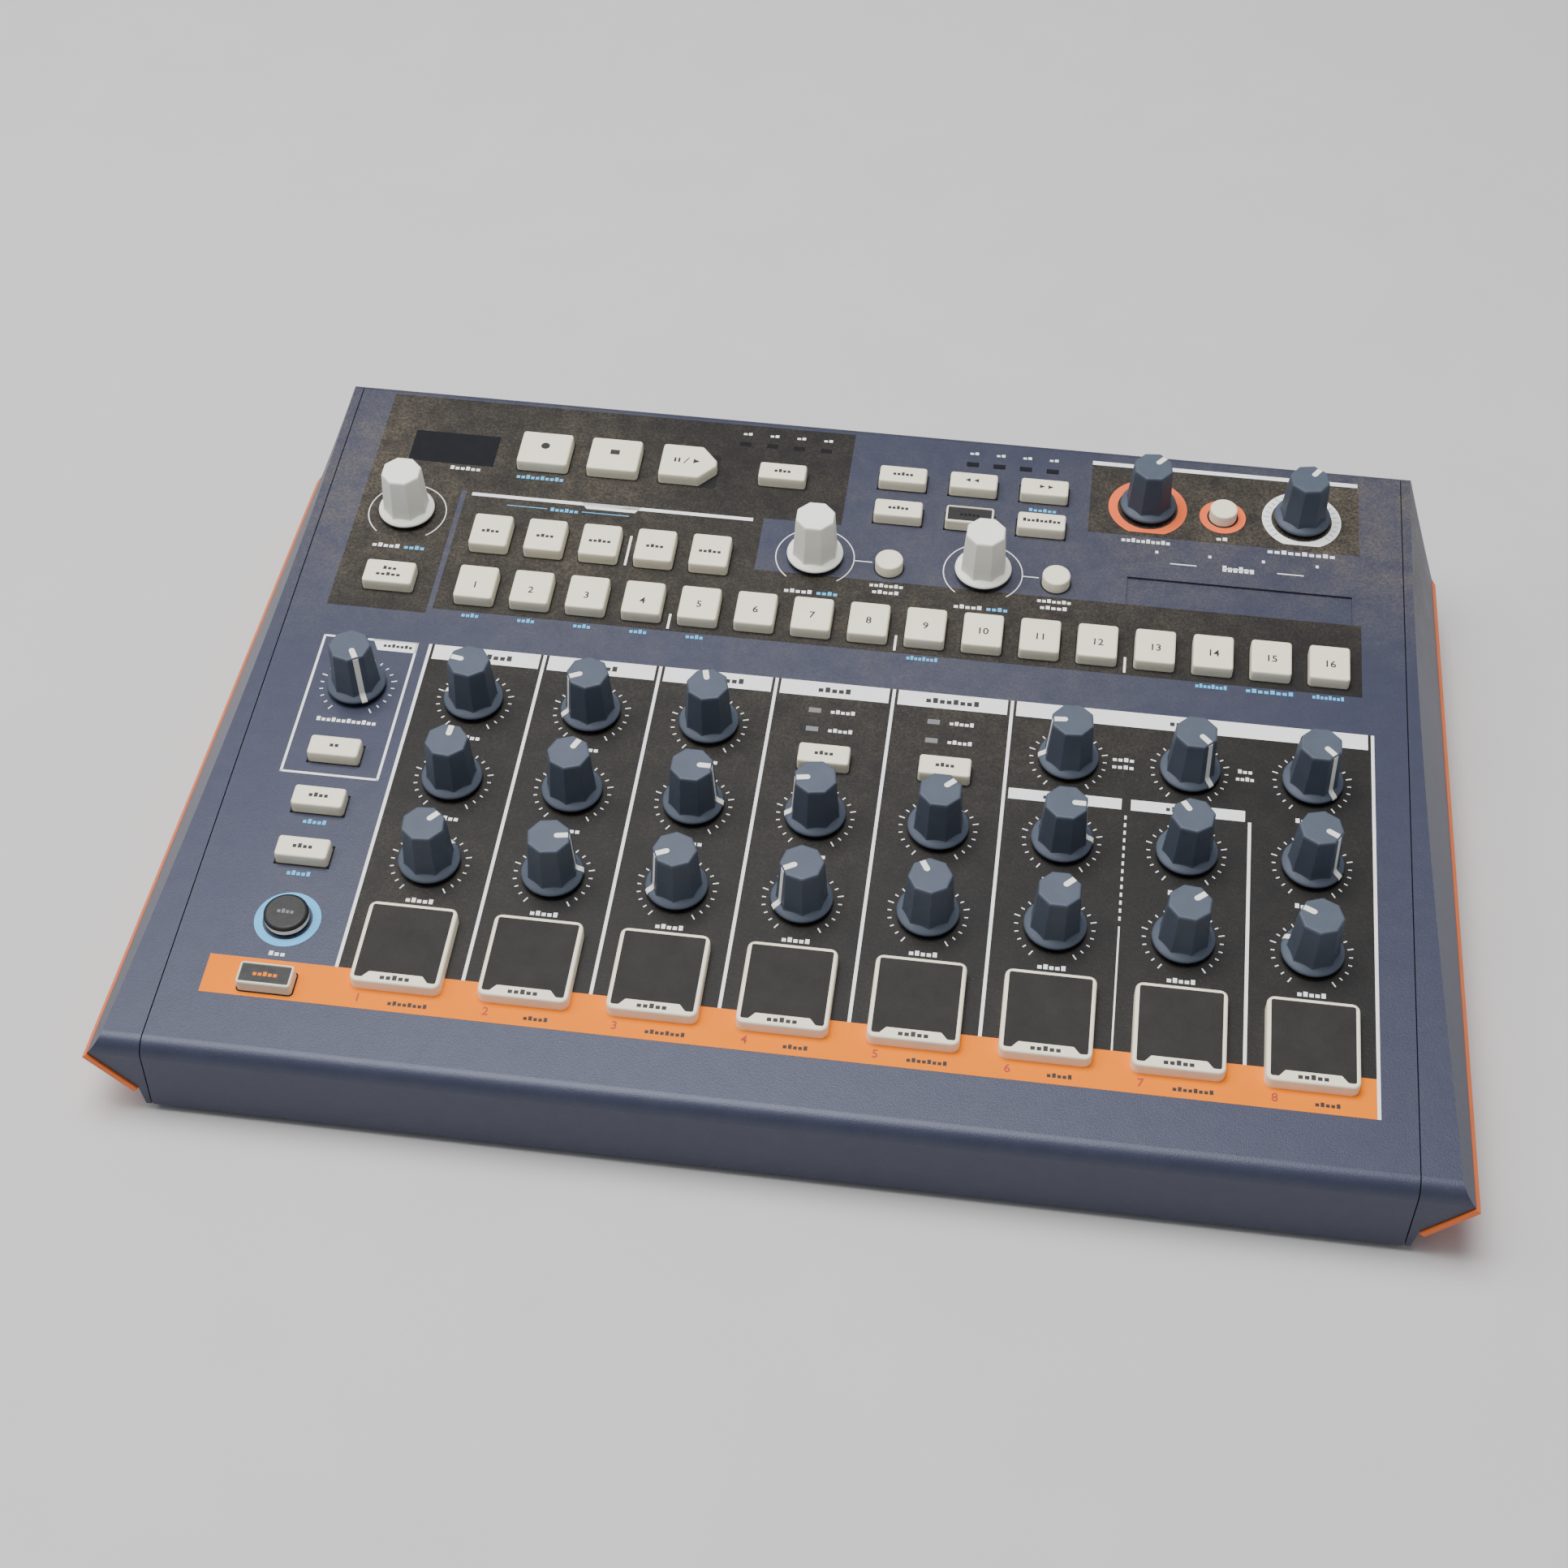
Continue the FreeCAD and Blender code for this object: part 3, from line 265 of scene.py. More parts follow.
def finish(
    name, colour, roughness, grain, shade, bump, metallic=0.0, dust=0.0, coat=0.0, specular=0.5
):
    """Moulded or painted surface: cloudy colour, uneven gloss, fine grain and dust.

    grain is the number of cells per metre of the fine relief, shade how far the colour varies.
    """
    material, shader, add = tree_of(name)
    place = add("ShaderNodeTexCoord").outputs["Object"]
    base = linear(colour)
    dark = tuple(c * (1 - shade) for c in base[:3]) + (1.0,)
    light = tuple(min(c * (1 + shade), 1.0) for c in base[:3]) + (1.0,)
    cloud = ramp(add, noise(add, place, grain / 12, 5.0, 0.65), 0.3, 0.7)
    tone = blend_colours(add, cloud, dark, light)
    if dust:
        amount = maths(add, "MULTIPLY", dust_mask(add, place), dust)
        tone = blend_colours(add, amount, tone, linear(DUST_BROWN))
        rough = maths(add, "ADD", maths(add, "MULTIPLY", amount, 0.4), roughness)
        wire(material, rough, shader.inputs["Roughness"])
    else:
        fine = noise(add, place, grain / 3, 3.0, 0.6)
        rough = ramp(add, fine, 0.3, 0.7, roughness - 0.06, roughness + 0.06)
        wire(material, rough, shader.inputs["Roughness"])
    wire(material, tone, shader.inputs["Base Color"])
    texture = noise(add, place, grain, 3.0, 0.6)
    links = (("Height", texture), ("Strength", bump * 5), ("Distance", 0.0002))
    wire(material, add("ShaderNodeBump", links).outputs["Normal"], shader.inputs["Normal"])
    shader.inputs["Metallic"].default_value = metallic
    shader.inputs["Coat Weight"].default_value = coat
    shader.inputs["Specular IOR Level"].default_value = specular
    return material


# Each finish: name, colour, roughness, grain, shade, bump
MATERIALS = {
    "case": finish("case_paint", CASE_BLUE, 0.4, 2600.0, 0.07, 0.06, metallic=0.25, dust=0.8, specular=0.5),
    "tray": finish("tray_paint", (36, 37, 42), 0.5, 2400.0, 0.1, 0.05, metallic=0.3),
    "plate": finish("plate_orange", PLATE_ORANGE, 0.42, 1500.0, 0.08, 0.04, metallic=0.1),
    "zone": finish("zone_black", ZONE_BLACK, 0.5, 1800.0, 0.12, 0.05, dust=1.0, specular=0.25),
    "white": finish("print_white", PRINT_WHITE, 0.55, 1600.0, 0.06, 0.02, dust=0.35, specular=0.3),
    "blue": finish("print_blue", PRINT_BLUE, 0.55, 1600.0, 0.06, 0.02, dust=0.3),
    "orange": finish("print_orange", PRINT_ORANGE, 0.6, 1200.0, 0.03, 0.02, specular=0.08),
    "ring": finish("print_ring_orange", RING_ORANGE, 0.6, 1200.0, 0.06, 0.02, dust=0.2, specular=0.1),
    "grey": finish("print_grey", (118, 118, 120), 0.6, 1600.0, 0.1, 0.02),
    "red": finish("pen_red", PRINT_RED, 0.6, 1500.0, 0.15, 0.02),
    "ink": finish("ink_dark", INK_DARK, 0.6, 1500.0, 0.1, 0.01),
    "key": finish("key_beige", KEY_BEIGE, 0.5, 1500.0, 0.035, 0.03),
    "inset": finish("key_inset_black", (27, 26, 26), 0.5, 1500.0, 0.1, 0.03),
    "knob": finish("knob_grey", KNOB_GREY, 0.52, 2200.0, 0.07, 0.05, specular=0.35),
    "cream": finish("knob_cream", KNOB_CREAM, 0.5, 1800.0, 0.03, 0.04),
    "pointer": finish("pointer_white", (246, 244, 236), 0.45, 1500.0, 0.02, 0.02),
    "pad": finish("pad_rubber", PAD_CHARCOAL, 0.72, 1500.0, 0.16, 0.08, dust=0.35, specular=0.25),
    "window": finish("smoked_window", (20, 20, 24), 0.14, 900.0, 0.1, 0.0, coat=0.5),
    # Painted shade: near-black colour of the sheet laid in the gaps round the keys, where shadow falls
    "gap_shade": finish("gap_shade_black", (10, 10, 11), 0.8, 900.0, 0.1, 0.0),
    "board": finish("board_green", (28, 70, 44), 0.45, 900.0, 0.2, 0.05),
    "plastic": finish("socket_black", (26, 26, 28), 0.45, 1300.0, 0.1, 0.04),
    "steel": finish("socket_steel", (168, 168, 172), 0.3, 1500.0, 0.06, 0.02, metallic=1.0),
    "rubber": finish("foot_rubber", (30, 30, 31), 0.8, 900.0, 0.15, 0.1),
}


def give(mesh, *names):
    """Puts materials into a mesh's slots."""
    for name in names:
        mesh.materials.append(MATERIALS[name])


def link(name, mesh, body):
    """Adds an object for a mesh and lets it ride on a body."""
    thing = bpy.data.objects.new(name, mesh)
    bpy.context.scene.collection.objects.link(thing)
    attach(thing, body)
    return thing


# CAD nodes that keep their own solids
NODE_MATERIALS = {
    "top_cover": "case",
    "left_end_cap": "case",
    "right_end_cap": "case",
    "bottom_tray": "tray",
    "side_plates": "plate",
    "control_board": "board",
    "jack_board": "board",
    "potentiometers": "plastic",
    "key_switches": "plastic",
    "status_windows": "window",
    "rear_sockets": "plastic",
    "power_button": "plastic",
    "rubber_feet": "rubber",
    "case_screws": "steel",
}
for node_name, material_name in NODE_MATERIALS.items():
    cad_node = frame["nodes"][node_name]
    cad_node.data.materials.clear()
    give(cad_node.data, material_name)


# Shapes
class Shape:
    """Mesh in the making, in millimetres."""

    def __init__(self):
        self.points = []
        self.faces = []
        self.materials = []
        self.smooth = []

    def add(self, points, faces, material=0, smooth=False):
        """Adds faces over points of their own."""
        start = len(self.points)
        self.points += [Vector(p) for p in points]
        for face in faces:
            self.faces.append([start + i for i in face])
            self.materials.append(material)
            self.smooth.append(smooth)

    def patch(self, points, material=0):
        """Adds one flat face."""
        self.add(points, [tuple(range(len(points)))], material)

    def mesh(self, name, matrix):
        """The Blender mesh, placed by a matrix."""
        data = bpy.data.meshes.new(name)
        data.from_pydata([matrix @ p for p in self.points], [], self.faces)
        data.polygons.foreach_set("material_index", self.materials)
        data.polygons.foreach_set("use_smooth", self.smooth)
        data.update()
        return data


def rings(shape, loops, material=0, cap_low=False, cap_high=True, smooth=False):
    """Skin over loops of equal length, one above the other."""
    count = len(loops[0])
    points = [p for loop in loops for p in loop]
    faces = []
    for level in range(len(loops) - 1):
        for i in range(count):
            j = (i + 1) % count
            low = level * count
            faces.append((low + i, low + j, low + count + j, low + count + i))
    shape.add(points, faces, material, smooth)
    if cap_high:
        shape.patch(loops[-1], material)
    if cap_low:
        shape.patch(loops[0][::-1], material)


def rounded_outline(corners, radius, steps=4):
    """Outline with each corner rounded, anticlockwise."""
    points = []
    count = len(corners)
    for i, corner in enumerate(corners):
        here = Vector(corner)
        before = (Vector(corners[i - 1]) - here).normalized()
        after = (Vector(corners[(i + 1) % count]) - here).normalized()
        half = before.angle(after) / 2
        reach = radius / math.tan(half)
        start = here + before * reach
        end = here + after * reach
        centre = here + (before + after).normalized() * (radius / math.sin(half))
        first = (start - centre).angle_signed(Vector((1, 0)))
        turn = (start - centre).angle_signed(end - centre)
        for k in range(steps + 1):
            a = first - turn * k / steps
            points.append((centre.x + radius * math.cos(a), centre.y + radius * math.sin(a)))
    return points


def box_corners(centre, size, shrink=0.0):
    """Corners of a rectangle, anticlockwise."""
    x, y = centre
    a = size[0] / 2 - shrink
    b = size[1] / 2 - shrink
    return [(x - a, y - b), (x + a, y - b), (x + a, y + b), (x - a, y + b)]


def circle(centre, radius, z, sides=48):
    """Points of a circle at one height."""
    points = []
    for k in range(sides):
        a = 2 * math.pi * k / sides
        points.append((centre[0] + radius * math.cos(a), centre[1] + radius * math.sin(a), z))
    return points


def at(points, z):
    """The same outline at one height."""
    return [(x, y, z) for x, y in points]


def flat_box(shape, left, front, right, rear, z, material=0):
    """Flat rectangular patch."""
    shape.patch([(left, front, z), (right, front, z), (right, rear, z), (left, rear, z)], material)


BLOCK_START = 0.12
BLOCK_END = 0.84
LOW_BLOCK = 0.72


def blocks(shape, centre, width, height, count, z, material=1, stride=2):
    """Row of small plain blocks. Those in every third place are full height."""
    step = width / count
    front = centre[1] - height / 2
    for k in range(count):
        left = centre[0] - width / 2 + k * step
        tall = height * (LOW_BLOCK if (k * stride + count) % 3 else 1.0)
        flat_box(shape, left + BLOCK_START * step, front, left + BLOCK_END * step, front + tall, z, material)


# Printing on the panel
class Print(Shape):
    """Flat shapes of one colour, lying on the panel."""

    def __init__(self, name, material, height):
        super().__init__()
        self.name = name
        self.material = material
        self.height = height

    def outline(self, points):
        """A flat shape."""
        self.patch(at(points, self.height))

    def rect(self, left, front, right, rear):
        """A rectangle."""
        flat_box(self, left, front, right, rear, self.height)

    def arc(self, centre, inner, outer, start=0.0, end=360.0, steps=48):
        """Part of a ring, from start to end in degrees clockwise from the rear."""
        x, y = centre
        points = []
        for k in range(steps + 1):
            a = math.radians(start + (end - start) * k / steps)
            points += [(x + r * math.sin(a), y + r * math.cos(a), self.height) for r in (inner, outer)]
        faces = [(2 * k, 2 * k + 1, 2 * k + 3, 2 * k + 2) for k in range(steps)]
        self.add(points, faces)

    def marks(self, place, front, width, count, height=1.5, across=0.0):
        """A row of small blocks in front of a place."""
        centre = (place[0] + across, place[1] - front)
        blocks(self, centre, width, height, count, self.height, material=0, stride=1)

    def done(self):
        """Adds the sheet to the case."""
        mesh = self.mesh(self.name, PANEL)
        give(mesh, self.material)
        link(self.name, mesh, "case")


ZONE_LEFT = -148.0
ZONE_RIGHT = 146.1
COLUMN_LEFT = CHANNEL_X[0] - PITCH / 2
COLUMN_RIGHT = CHANNEL_X[7] + PITCH / 2
HEADER_TOP = -22.5
HEADER_BOTTOM = -27.9
HEADER_MIDDLE = (HEADER_TOP + HEADER_BOTTOM) / 2
SHORT_BAR_TOP = -53.7
SHORT_BAR_BOTTOM = -57.4
STRIP_TOP = -134.97
STRIP_BOTTOM = -146.74
# Black fields: left, front, right, rear
ZONES = (
    (ZONE_LEFT, 39.6, -5.3, 78.5),
    (ZONE_LEFT, -10.8, -119.2, 39.6),
    (-117.6, -8.8, -28.3, 39.6),
    (-28.3, -8.8, ZONE_RIGHT, 18.4),
    (66.8, 46.4, 145.9, 74.6),
    (COLUMN_LEFT, STRIP_TOP, COLUMN_RIGHT, HEADER_TOP),
)


def print_zones():
    """Black fields, and the orange strip along the front."""
    zones = Print("print_zones", "zone", ZONE_HEIGHT)
    for box in ZONES:
        zones.rect(*box)
    zones.done()
    strip = Print("print_strip", "orange", STRIP_HEIGHT)
    strip.rect(ZONE_LEFT, STRIP_BOTTOM, COLUMN_RIGHT, STRIP_TOP)
    strip.done()


LINE_HALF = 0.45
DASH_COUNT = 14
DASH_PITCH = 2.6
DASH_HALF = 0.3
DASH_TOP = HEADER_BOTTOM - 31.5
DASHED_LINE_END = HEADER_BOTTOM - 68.5
SHORT_LINE_TOP = MIDDLE_Y + 13.0


def column_lines(sheet):
    """Lines at the sides of the columns, one of them dashed and one shorter."""
    for k in range(len(CHANNEL_X) + 1):
        x = COLUMN_LEFT + k * PITCH
        if k == 6:
            for dash in range(DASH_COUNT):
                top = DASH_TOP - dash * DASH_PITCH
                sheet.rect(x - DASH_HALF, top - DASH_PITCH / 2, x + DASH_HALF, top)
            sheet.rect(x - LINE_HALF / 2, STRIP_TOP, x + LINE_HALF / 2, DASHED_LINE_END)
        elif k == 7:
            sheet.rect(x - LINE_HALF, STRIP_TOP, x + LINE_HALF, SHORT_LINE_TOP)
        else:
            bottom = STRIP_BOTTOM if k == 8 else STRIP_TOP
            sheet.rect(x - LINE_HALF, bottom, x + LINE_HALF, HEADER_TOP)


BAR_MARGIN = 1.25


def header_bar(sheet, first, last, front, rear):
    """Bar over the columns from one number to another."""
    left = COLUMN_LEFT + first * PITCH + BAR_MARGIN
    sheet.rect(left, front, COLUMN_LEFT + (last + 1) * PITCH - BAR_MARGIN, rear)


BOX_LEFT = -145.8
BOX_FRONT = -73.5
BOX_RIGHT = -118.4
BOX_REAR = -22.6
BOX_LINE = 0.7
BOX_TAB = ((-131.5, BOX_REAR), (-129.5, -26.6), (BOX_RIGHT, -26.6), (BOX_RIGHT, BOX_REAR))
MODE_BAR_TAB = ((-81.0, 36.6), (-66.5, 36.6), (-64.8, 39.1), (-82.7, 39.1))


def boxes_and_bars(sheet):
    """Box round the metronome's controls, and bars over the mode keys and the master knobs."""
    sheet.rect(BOX_LEFT, BOX_FRONT, BOX_LEFT + BOX_LINE, BOX_REAR)
    sheet.rect(BOX_RIGHT - BOX_LINE, BOX_FRONT, BOX_RIGHT, BOX_REAR)
    sheet.rect(BOX_LEFT, BOX_FRONT, BOX_RIGHT, BOX_FRONT + BOX_LINE)
    sheet.rect(BOX_LEFT, BOX_REAR - BOX_LINE, BOX_RIGHT, BOX_REAR)
    sheet.outline(BOX_TAB)
    sheet.rect(-115.8, 37.8, -31.4, 39.1)
    sheet.outline(MODE_BAR_TAB)
    sheet.rect(66.8, 74.8, 145.6, 76.4)


def group_marks(sheet):
    """Short lines between groups of keys."""
    half = 0.35
    first = (STEPS[3][0][0] + STEPS[4][0][0]) / 2
    for k in range(3):
        x = first + 4 * k * (STEPS[1][0][0] - STEPS[0][0][0])
        sheet.rect(x - half, -8.0, x + half, -2.2)
    modes = [centre for centre, _, _ in KEYS["mode_keys"]]
    x = (modes[2][0] + modes[3][0]) / 2
    sheet.rect(x - half, modes[0][1] - 6.0, x + half, modes[0][1] + 6.0)


TICK_COUNT = 21
TICK_FIRST = -147.0
TICK_STEP = 14.7
TICK_INNER = 9.5
TICK_SHORT = 10.5
TICK_LONG = 11.1
TICK_HALF = 0.17
CREAM_RING = (11.3, 11.6)
CREAM_RING_END = 140.0


def tick_ring(sheet, centre):
    """Scale of a knob: long and short ticks, open at the front."""
    here = Vector(centre)
    for k in range(TICK_COUNT):
        a = math.radians(TICK_FIRST + TICK_STEP * k)
        across = Vector((math.cos(a), -math.sin(a))) * TICK_HALF
        out = Vector((math.sin(a), math.cos(a)))
        low = here + out * TICK_INNER
        high = here + out * (TICK_SHORT if k % 5 else TICK_LONG)
        sheet.outline([tuple(p) for p in (low - across, low + across, high + across, high - across)])


def scales(sheet):
    """Scales of the knobs, and the lines from two of them to their keys."""
    for node in KNOBS:
        if node in CREAM_KNOBS:
            sheet.arc(knob_place(node), *CREAM_RING, -CREAM_RING_END, CREAM_RING_END)
        elif node not in ("drive_knob", "volume_knob"):
            tick_ring(sheet, knob_place(node))
    for knob, key in (("swing_knob", 1), ("random_knob", 2)):
        x, y = knob_place(knob)
        end = KEYS["round_keys"][key][0][0] - 5.0
        sheet.rect(x + CREAM_RING[1], y - TICK_HALF, end, y + TICK_HALF)


MASTER_RING = (8.9, 11.6)
MASTER_FLAT = -10.4


def ring_with_flat(sheet, centre):
    """Wide ring under a knob, cut flat at the front."""
    inner, outer = MASTER_RING
    limit = math.degrees(math.acos(MASTER_FLAT / outer))
    sheet.arc(centre, inner, outer, -limit, limit)
    x, y = centre
    reach = math.sqrt(outer**2 - MASTER_FLAT**2)
    points = [(x - reach, y + MASTER_FLAT), (x + reach, y + MASTER_FLAT)]
    steps = 16
    for k in range(steps + 1):
        a = math.radians(limit + (360 - 2 * limit) * k / steps)
        points.append((x + inner * math.sin(a), y + inner * math.cos(a)))
    sheet.outline(points)


def print_lines():
    """White lines, bars, boxes and scales."""
    white = Print("print_lines", "white", LINE_HEIGHT)
    column_lines(white)
    for column in range(5):
        header_bar(white, column, column, HEADER_BOTTOM, HEADER_TOP)
    header_bar(white, 5, 7, HEADER_BOTTOM, HEADER_TOP)
    for column in (5, 6):
        header_bar(white, column, column, SHORT_BAR_BOTTOM, SHORT_BAR_TOP)
    boxes_and_bars(white)
    group_marks(white)
    scales(white)
    ring_with_flat(white, knob_place("volume_knob"))
    white.done()


def print_rings():
    """Coloured rings: orange round the drive knob and its key, blue round the shift key."""
    orange = Print("print_orange_rings", "ring", LINE_HEIGHT)
    ring_with_flat(orange, knob_place("drive_knob"))
    orange.arc(KEYS["round_keys"][0][0], 4.6, 6.8)
    orange.done()
    blue = Print("print_blue_ring", "blue", LINE_HEIGHT)
    blue.arc(KEYS["shift_key"][0][0], 6.5, 8.7)
    blue.done()


KEY_GAP = 0.4
GAP_CORNER = 1.2


def print_key_gap_shade():
    """Painted shade: a dark sheet round the keys, standing for the shadow in the gaps between keys and
    panel.
    """
    gap_shade_sheet = Print("print_key_gap_shade", "gap_shade", LINE_HEIGHT)
    for node, keys in KEYS.items():
        for centre, size, _ in keys:
            if node in ("round_keys", "shift_key"):
                gap_shade_sheet.arc(centre, 0.0, size[0] / 2 + KEY_GAP)
            else:
                gap_shade_sheet.outline(rounded_outline(box_corners(centre, size, -KEY_GAP), GAP_CORNER))
    gap_shade_sheet.done()


def print_windows():
    """Faces of the display window and of the lamps, over their solids."""
    glass = Print("print_windows", "window", LINE_HEIGHT)
    lamps = Print("print_lamps", "grey", LINE_HEIGHT)
    for points in islands("status_windows"):
        xs = [p.x for p in points]
        ys = [p.y for p in points]
        sheet = lamps if max(ys) < HEADER_BOTTOM else glass
        sheet.rect(min(xs), min(ys), max(xs), max(ys))
    glass.done()
    lamps.done()


def print_ring_ticks():
    """Grey ticks on the ring of the volume knob."""
    ticks = Print("print_ring_ticks", "grey", TEXT_HEIGHT)
    half = 0.6
    for k in range(25):
        a = -132 + 11 * k
        ticks.arc(knob_place("volume_knob"), 9.4, 10.8 if k % 4 else 11.3, a - half, a + half, 2)
    ticks.done()


# Step keys with blue marks: width and count of the blocks
STEP_MARKS = {
    **dict.fromkeys(range(5), (5.2, 4)),
    **dict.fromkeys((8, 13, 15), (9.0, 8)),
    14: (13.5, 8),
}
# Marks to the right of two upper knobs: column, distance to the front, width, count
SIDE_MARKS = ((5, -2.0, 6.2, 4), (5, 0.6, 6.2, 4), (6, -2.0, 4.2, 3), (6, 0.6, 5.2, 4))


def knob_marks(white, blue):
    """Rows of blocks in front of the knobs."""
    for node in KNOBS:
        place = knob_place(node)
        if "level" in node:
            white.marks(place, 12.6, 7.6, 5)
        elif node.startswith("channel"):
            white.marks(place, 13.2, 9.0, 6)
        elif node in CREAM_KNOBS:
            white.marks(place, 14.2, 8.4, 5, across=-3.2)
            blue.marks(place, 14.2, 6.4, 4, across=5.2)
    white.marks(knob_place("drive_knob"), 14.0, 14.5, 10, 1.6)
    white.marks(knob_place("volume_knob"), 14.0, 20.0, 10, 1.6)
    white.marks(knob_place("click_volume_knob"), 13.0, 17.0, 12)
    for column, front, width, count in SIDE_MARKS:
        white.marks((CHANNEL_X[column], UPPER_Y), front, width, count, 1.4, 15.0)


def key_marks(white, blue):
    """Rows of blocks in front of the keys."""
    for k, (width, count) in STEP_MARKS.items():
        blue.marks(STEPS[k][0], 10.2, width, count)
    for place, _, _ in KEYS["left_column_keys"][2:4]:
        blue.marks(place, 6.2, 6.6, 5)
    white.marks(KEYS["shift_key"][0][0], 11.0, 4.6, 3, 1.4)
    record = KEYS["transport_keys"][0][0]
    blue.marks(record, 9.4, 14.5, 10, 1.6)
    white.marks(record, 8.2, 9.5, 6, across=-23.0)
    blue.marks((-87.3, 35.0), 0.0, 8.6, 6)
    blue.rect(-104.6, 34.9, -92.5, 35.2)
    blue.rect(-82.1, 34.9, -68.0, 35.2)
    white.marks(KEYS["round_keys"][0][0], 9.2, 3.6, 2, 1.4)
    for place, _, _ in KEYS["round_keys"][1:]:
        white.marks(place, 7.4, 10.0, 7, 1.4)
        white.marks(place, 10.0, 8.0, 5, 1.4)
    blue.marks(KEYS["edit_keys"][2][0], 6.4, 8.4, 6, 1.3)


LAMP_MARK_ROWS = ((-37.8, 8.2, 74.6), (31.2, 8.0, 74.9))
STRIP_MARK_X = (87.3, 102.7, 118.2, 133.7)


def lamp_and_strip_marks(white):
    """Blocks beside the lamps and the touch strip."""
    for left, pitch, y in LAMP_MARK_ROWS:
        for k in range(4):
            white.marks((left + pitch * k, y), 0.0, 3.0, 2, 1.1)
    for k, x in enumerate(STRIP_MARK_X):
        white.marks((x, 40.6), 0.0, 1.2, 1)
        if k < 3:
            white.rect(x + 4.0, 36.0, x + 11.6, 36.4)
    white.marks((111.0, 36.2), 0.0, 9.5, 6, 2.4)
    for column in (3, 4):
        for y in (-33.0, -39.8):
            white.marks((CHANNEL_X[column] + 3.2, y), 0.0, 7.0, 5, 1.4)


def channel_marks(dark):
    """Dark blocks on the header bars and the orange strip."""
    for k, x in enumerate(CHANNEL_X):
        count = 5 if k % 2 else 8
        if k < 5:
            dark.marks((x, HEADER_MIDDLE), 0.0, 1.9 * count, count, 1.9)
        dark.marks((x + 4.0, -144.2), 0.0, 1.3 * count, count, 1.3)
    dark.marks((CHANNEL_X[6], HEADER_MIDDLE), 0.0, 12.0, 7, 1.9)
    for k in (5, 6):
        dark.marks((CHANNEL_X[k], -55.6), 0.0, 12.0, 8, 1.6)
    dark.marks((-124.0, -24.6), 0.0, 8.5, 7, 1.3)


def print_legends():
    """Rows of small plain blocks, white, blue and dark."""
    white = Print("legends_white", "white", TEXT_HEIGHT)
    blue = Print("legends_blue", "blue", TEXT_HEIGHT)
    dark = Print("legends_dark", "ink", TEXT_HEIGHT)
    knob_marks(white, blue)
    key_marks(white, blue)
    lamp_and_strip_marks(white)
    channel_marks(dark)
    white.done()
    blue.done()
    dark.done()


NUMBER_SIZE = 3.4
NUMBER_BOLD = 0.05


def number(name, text, centre, height, material, body):
    """Plain number as a flat mesh, lying at a height above the panel."""
    curve = bpy.data.curves.new(name, "FONT")
    curve.body = text
    curve.size = NUMBER_SIZE
    curve.align_x = "CENTER"
    curve.align_y = "CENTER"
    curve.resolution_u = 3
    curve.offset = NUMBER_BOLD
    maker = bpy.data.objects.new(name + "_maker", curve)
    bpy.context.scene.collection.objects.link(maker)
    bpy.context.view_layer.update()
    depsgraph = bpy.context.evaluated_depsgraph_get()
    mesh = bpy.data.meshes.new_from_object(maker.evaluated_get(depsgraph))
    mesh.transform(PANEL @ Matrix.Translation((centre[0], centre[1], height)))
    mesh.materials.clear()
    give(mesh, material)
    bpy.data.objects.remove(maker)
    link(name, mesh, body)


def print_numbers():
    """Numbers of the channels in red pen on the orange strip."""
    for k, x in enumerate(CHANNEL_X):
        name = "pen_number_%d" % (k + 1)
        number(name, str(k + 1), (x - 9.0, -143.6), TEXT_HEIGHT, "red", "case")


# Keys
KEY, INK, INSET, ORANGE, GREY = range(5)
KEY_FOOT = -1.2
KEY_TRAVEL = 1.0


def plain_key(shape, centre, size, top, corner=1.0, outline=box_corners):
    """Key: rounded plan, slight draft and a softly rounded rim."""
    levels = ((KEY_FOOT, 0.0), (top * 0.5, 0.02), (top - 0.55, 0.08), (top - 0.3, 0.16))
    levels += ((top - 0.12, 0.3), (top - 0.03, 0.5), (top, 0.75))
    loops = []
    for z, shrink in levels:
        loops.append(at(rounded_outline(outline(centre, size, shrink), max(corner - shrink, 0.25)), z))
    rings(shape, loops, KEY, smooth=True)


def arrow_corners(centre, size, shrink):
    """Corners of the play key."""
    x, y = centre
    scale = 1 - 2 * shrink / size[1]
    a = size[0] / 2
    b = size[1] / 2
    point = 4.8
    tip = 1.1
    corners = [(-a, -b), (a - point, -b), (a, -tip), (a, tip), (a - point, b), (-a, b)]
    return [(x + px * scale, y + py * scale) for px, py in corners]


def rim_key(shape, centre, size, top):
    """Key whose dark top is sunk inside a beige rim."""
    corner = 0.9
    rim = 0.6
    depth = 0.3
    levels = ((KEY_FOOT, 0.0), (top - 0.5, 0.05), (top - 0.15, 0.2), (top, 0.45), (top, rim))
    levels += ((top - depth, rim + 0.1),)
    loops = []
    for z, shrink in levels:
        loops.append(at(rounded_outline(box_corners(centre, size, shrink), max(corner - shrink, 0.2)), z))
    rings(shape, loops, KEY, cap_high=False)
    shape.patch(loops[-1], INSET)


def step_key(shape, k, centre, size, top):
    """Square key, whose number is a piece of its own."""
    plain_key(shape, centre, size, top)


def mode_key(shape, k, centre, size, top):
    """Square key with a row of blocks."""
    plain_key(shape, centre, size, top)
    count = (4, 4, 5, 4, 5)[k]
    blocks(shape, (centre[0], centre[1] - 0.6), 1.35 * count, 1.35, count, top + INK_ABOVE_KEY)


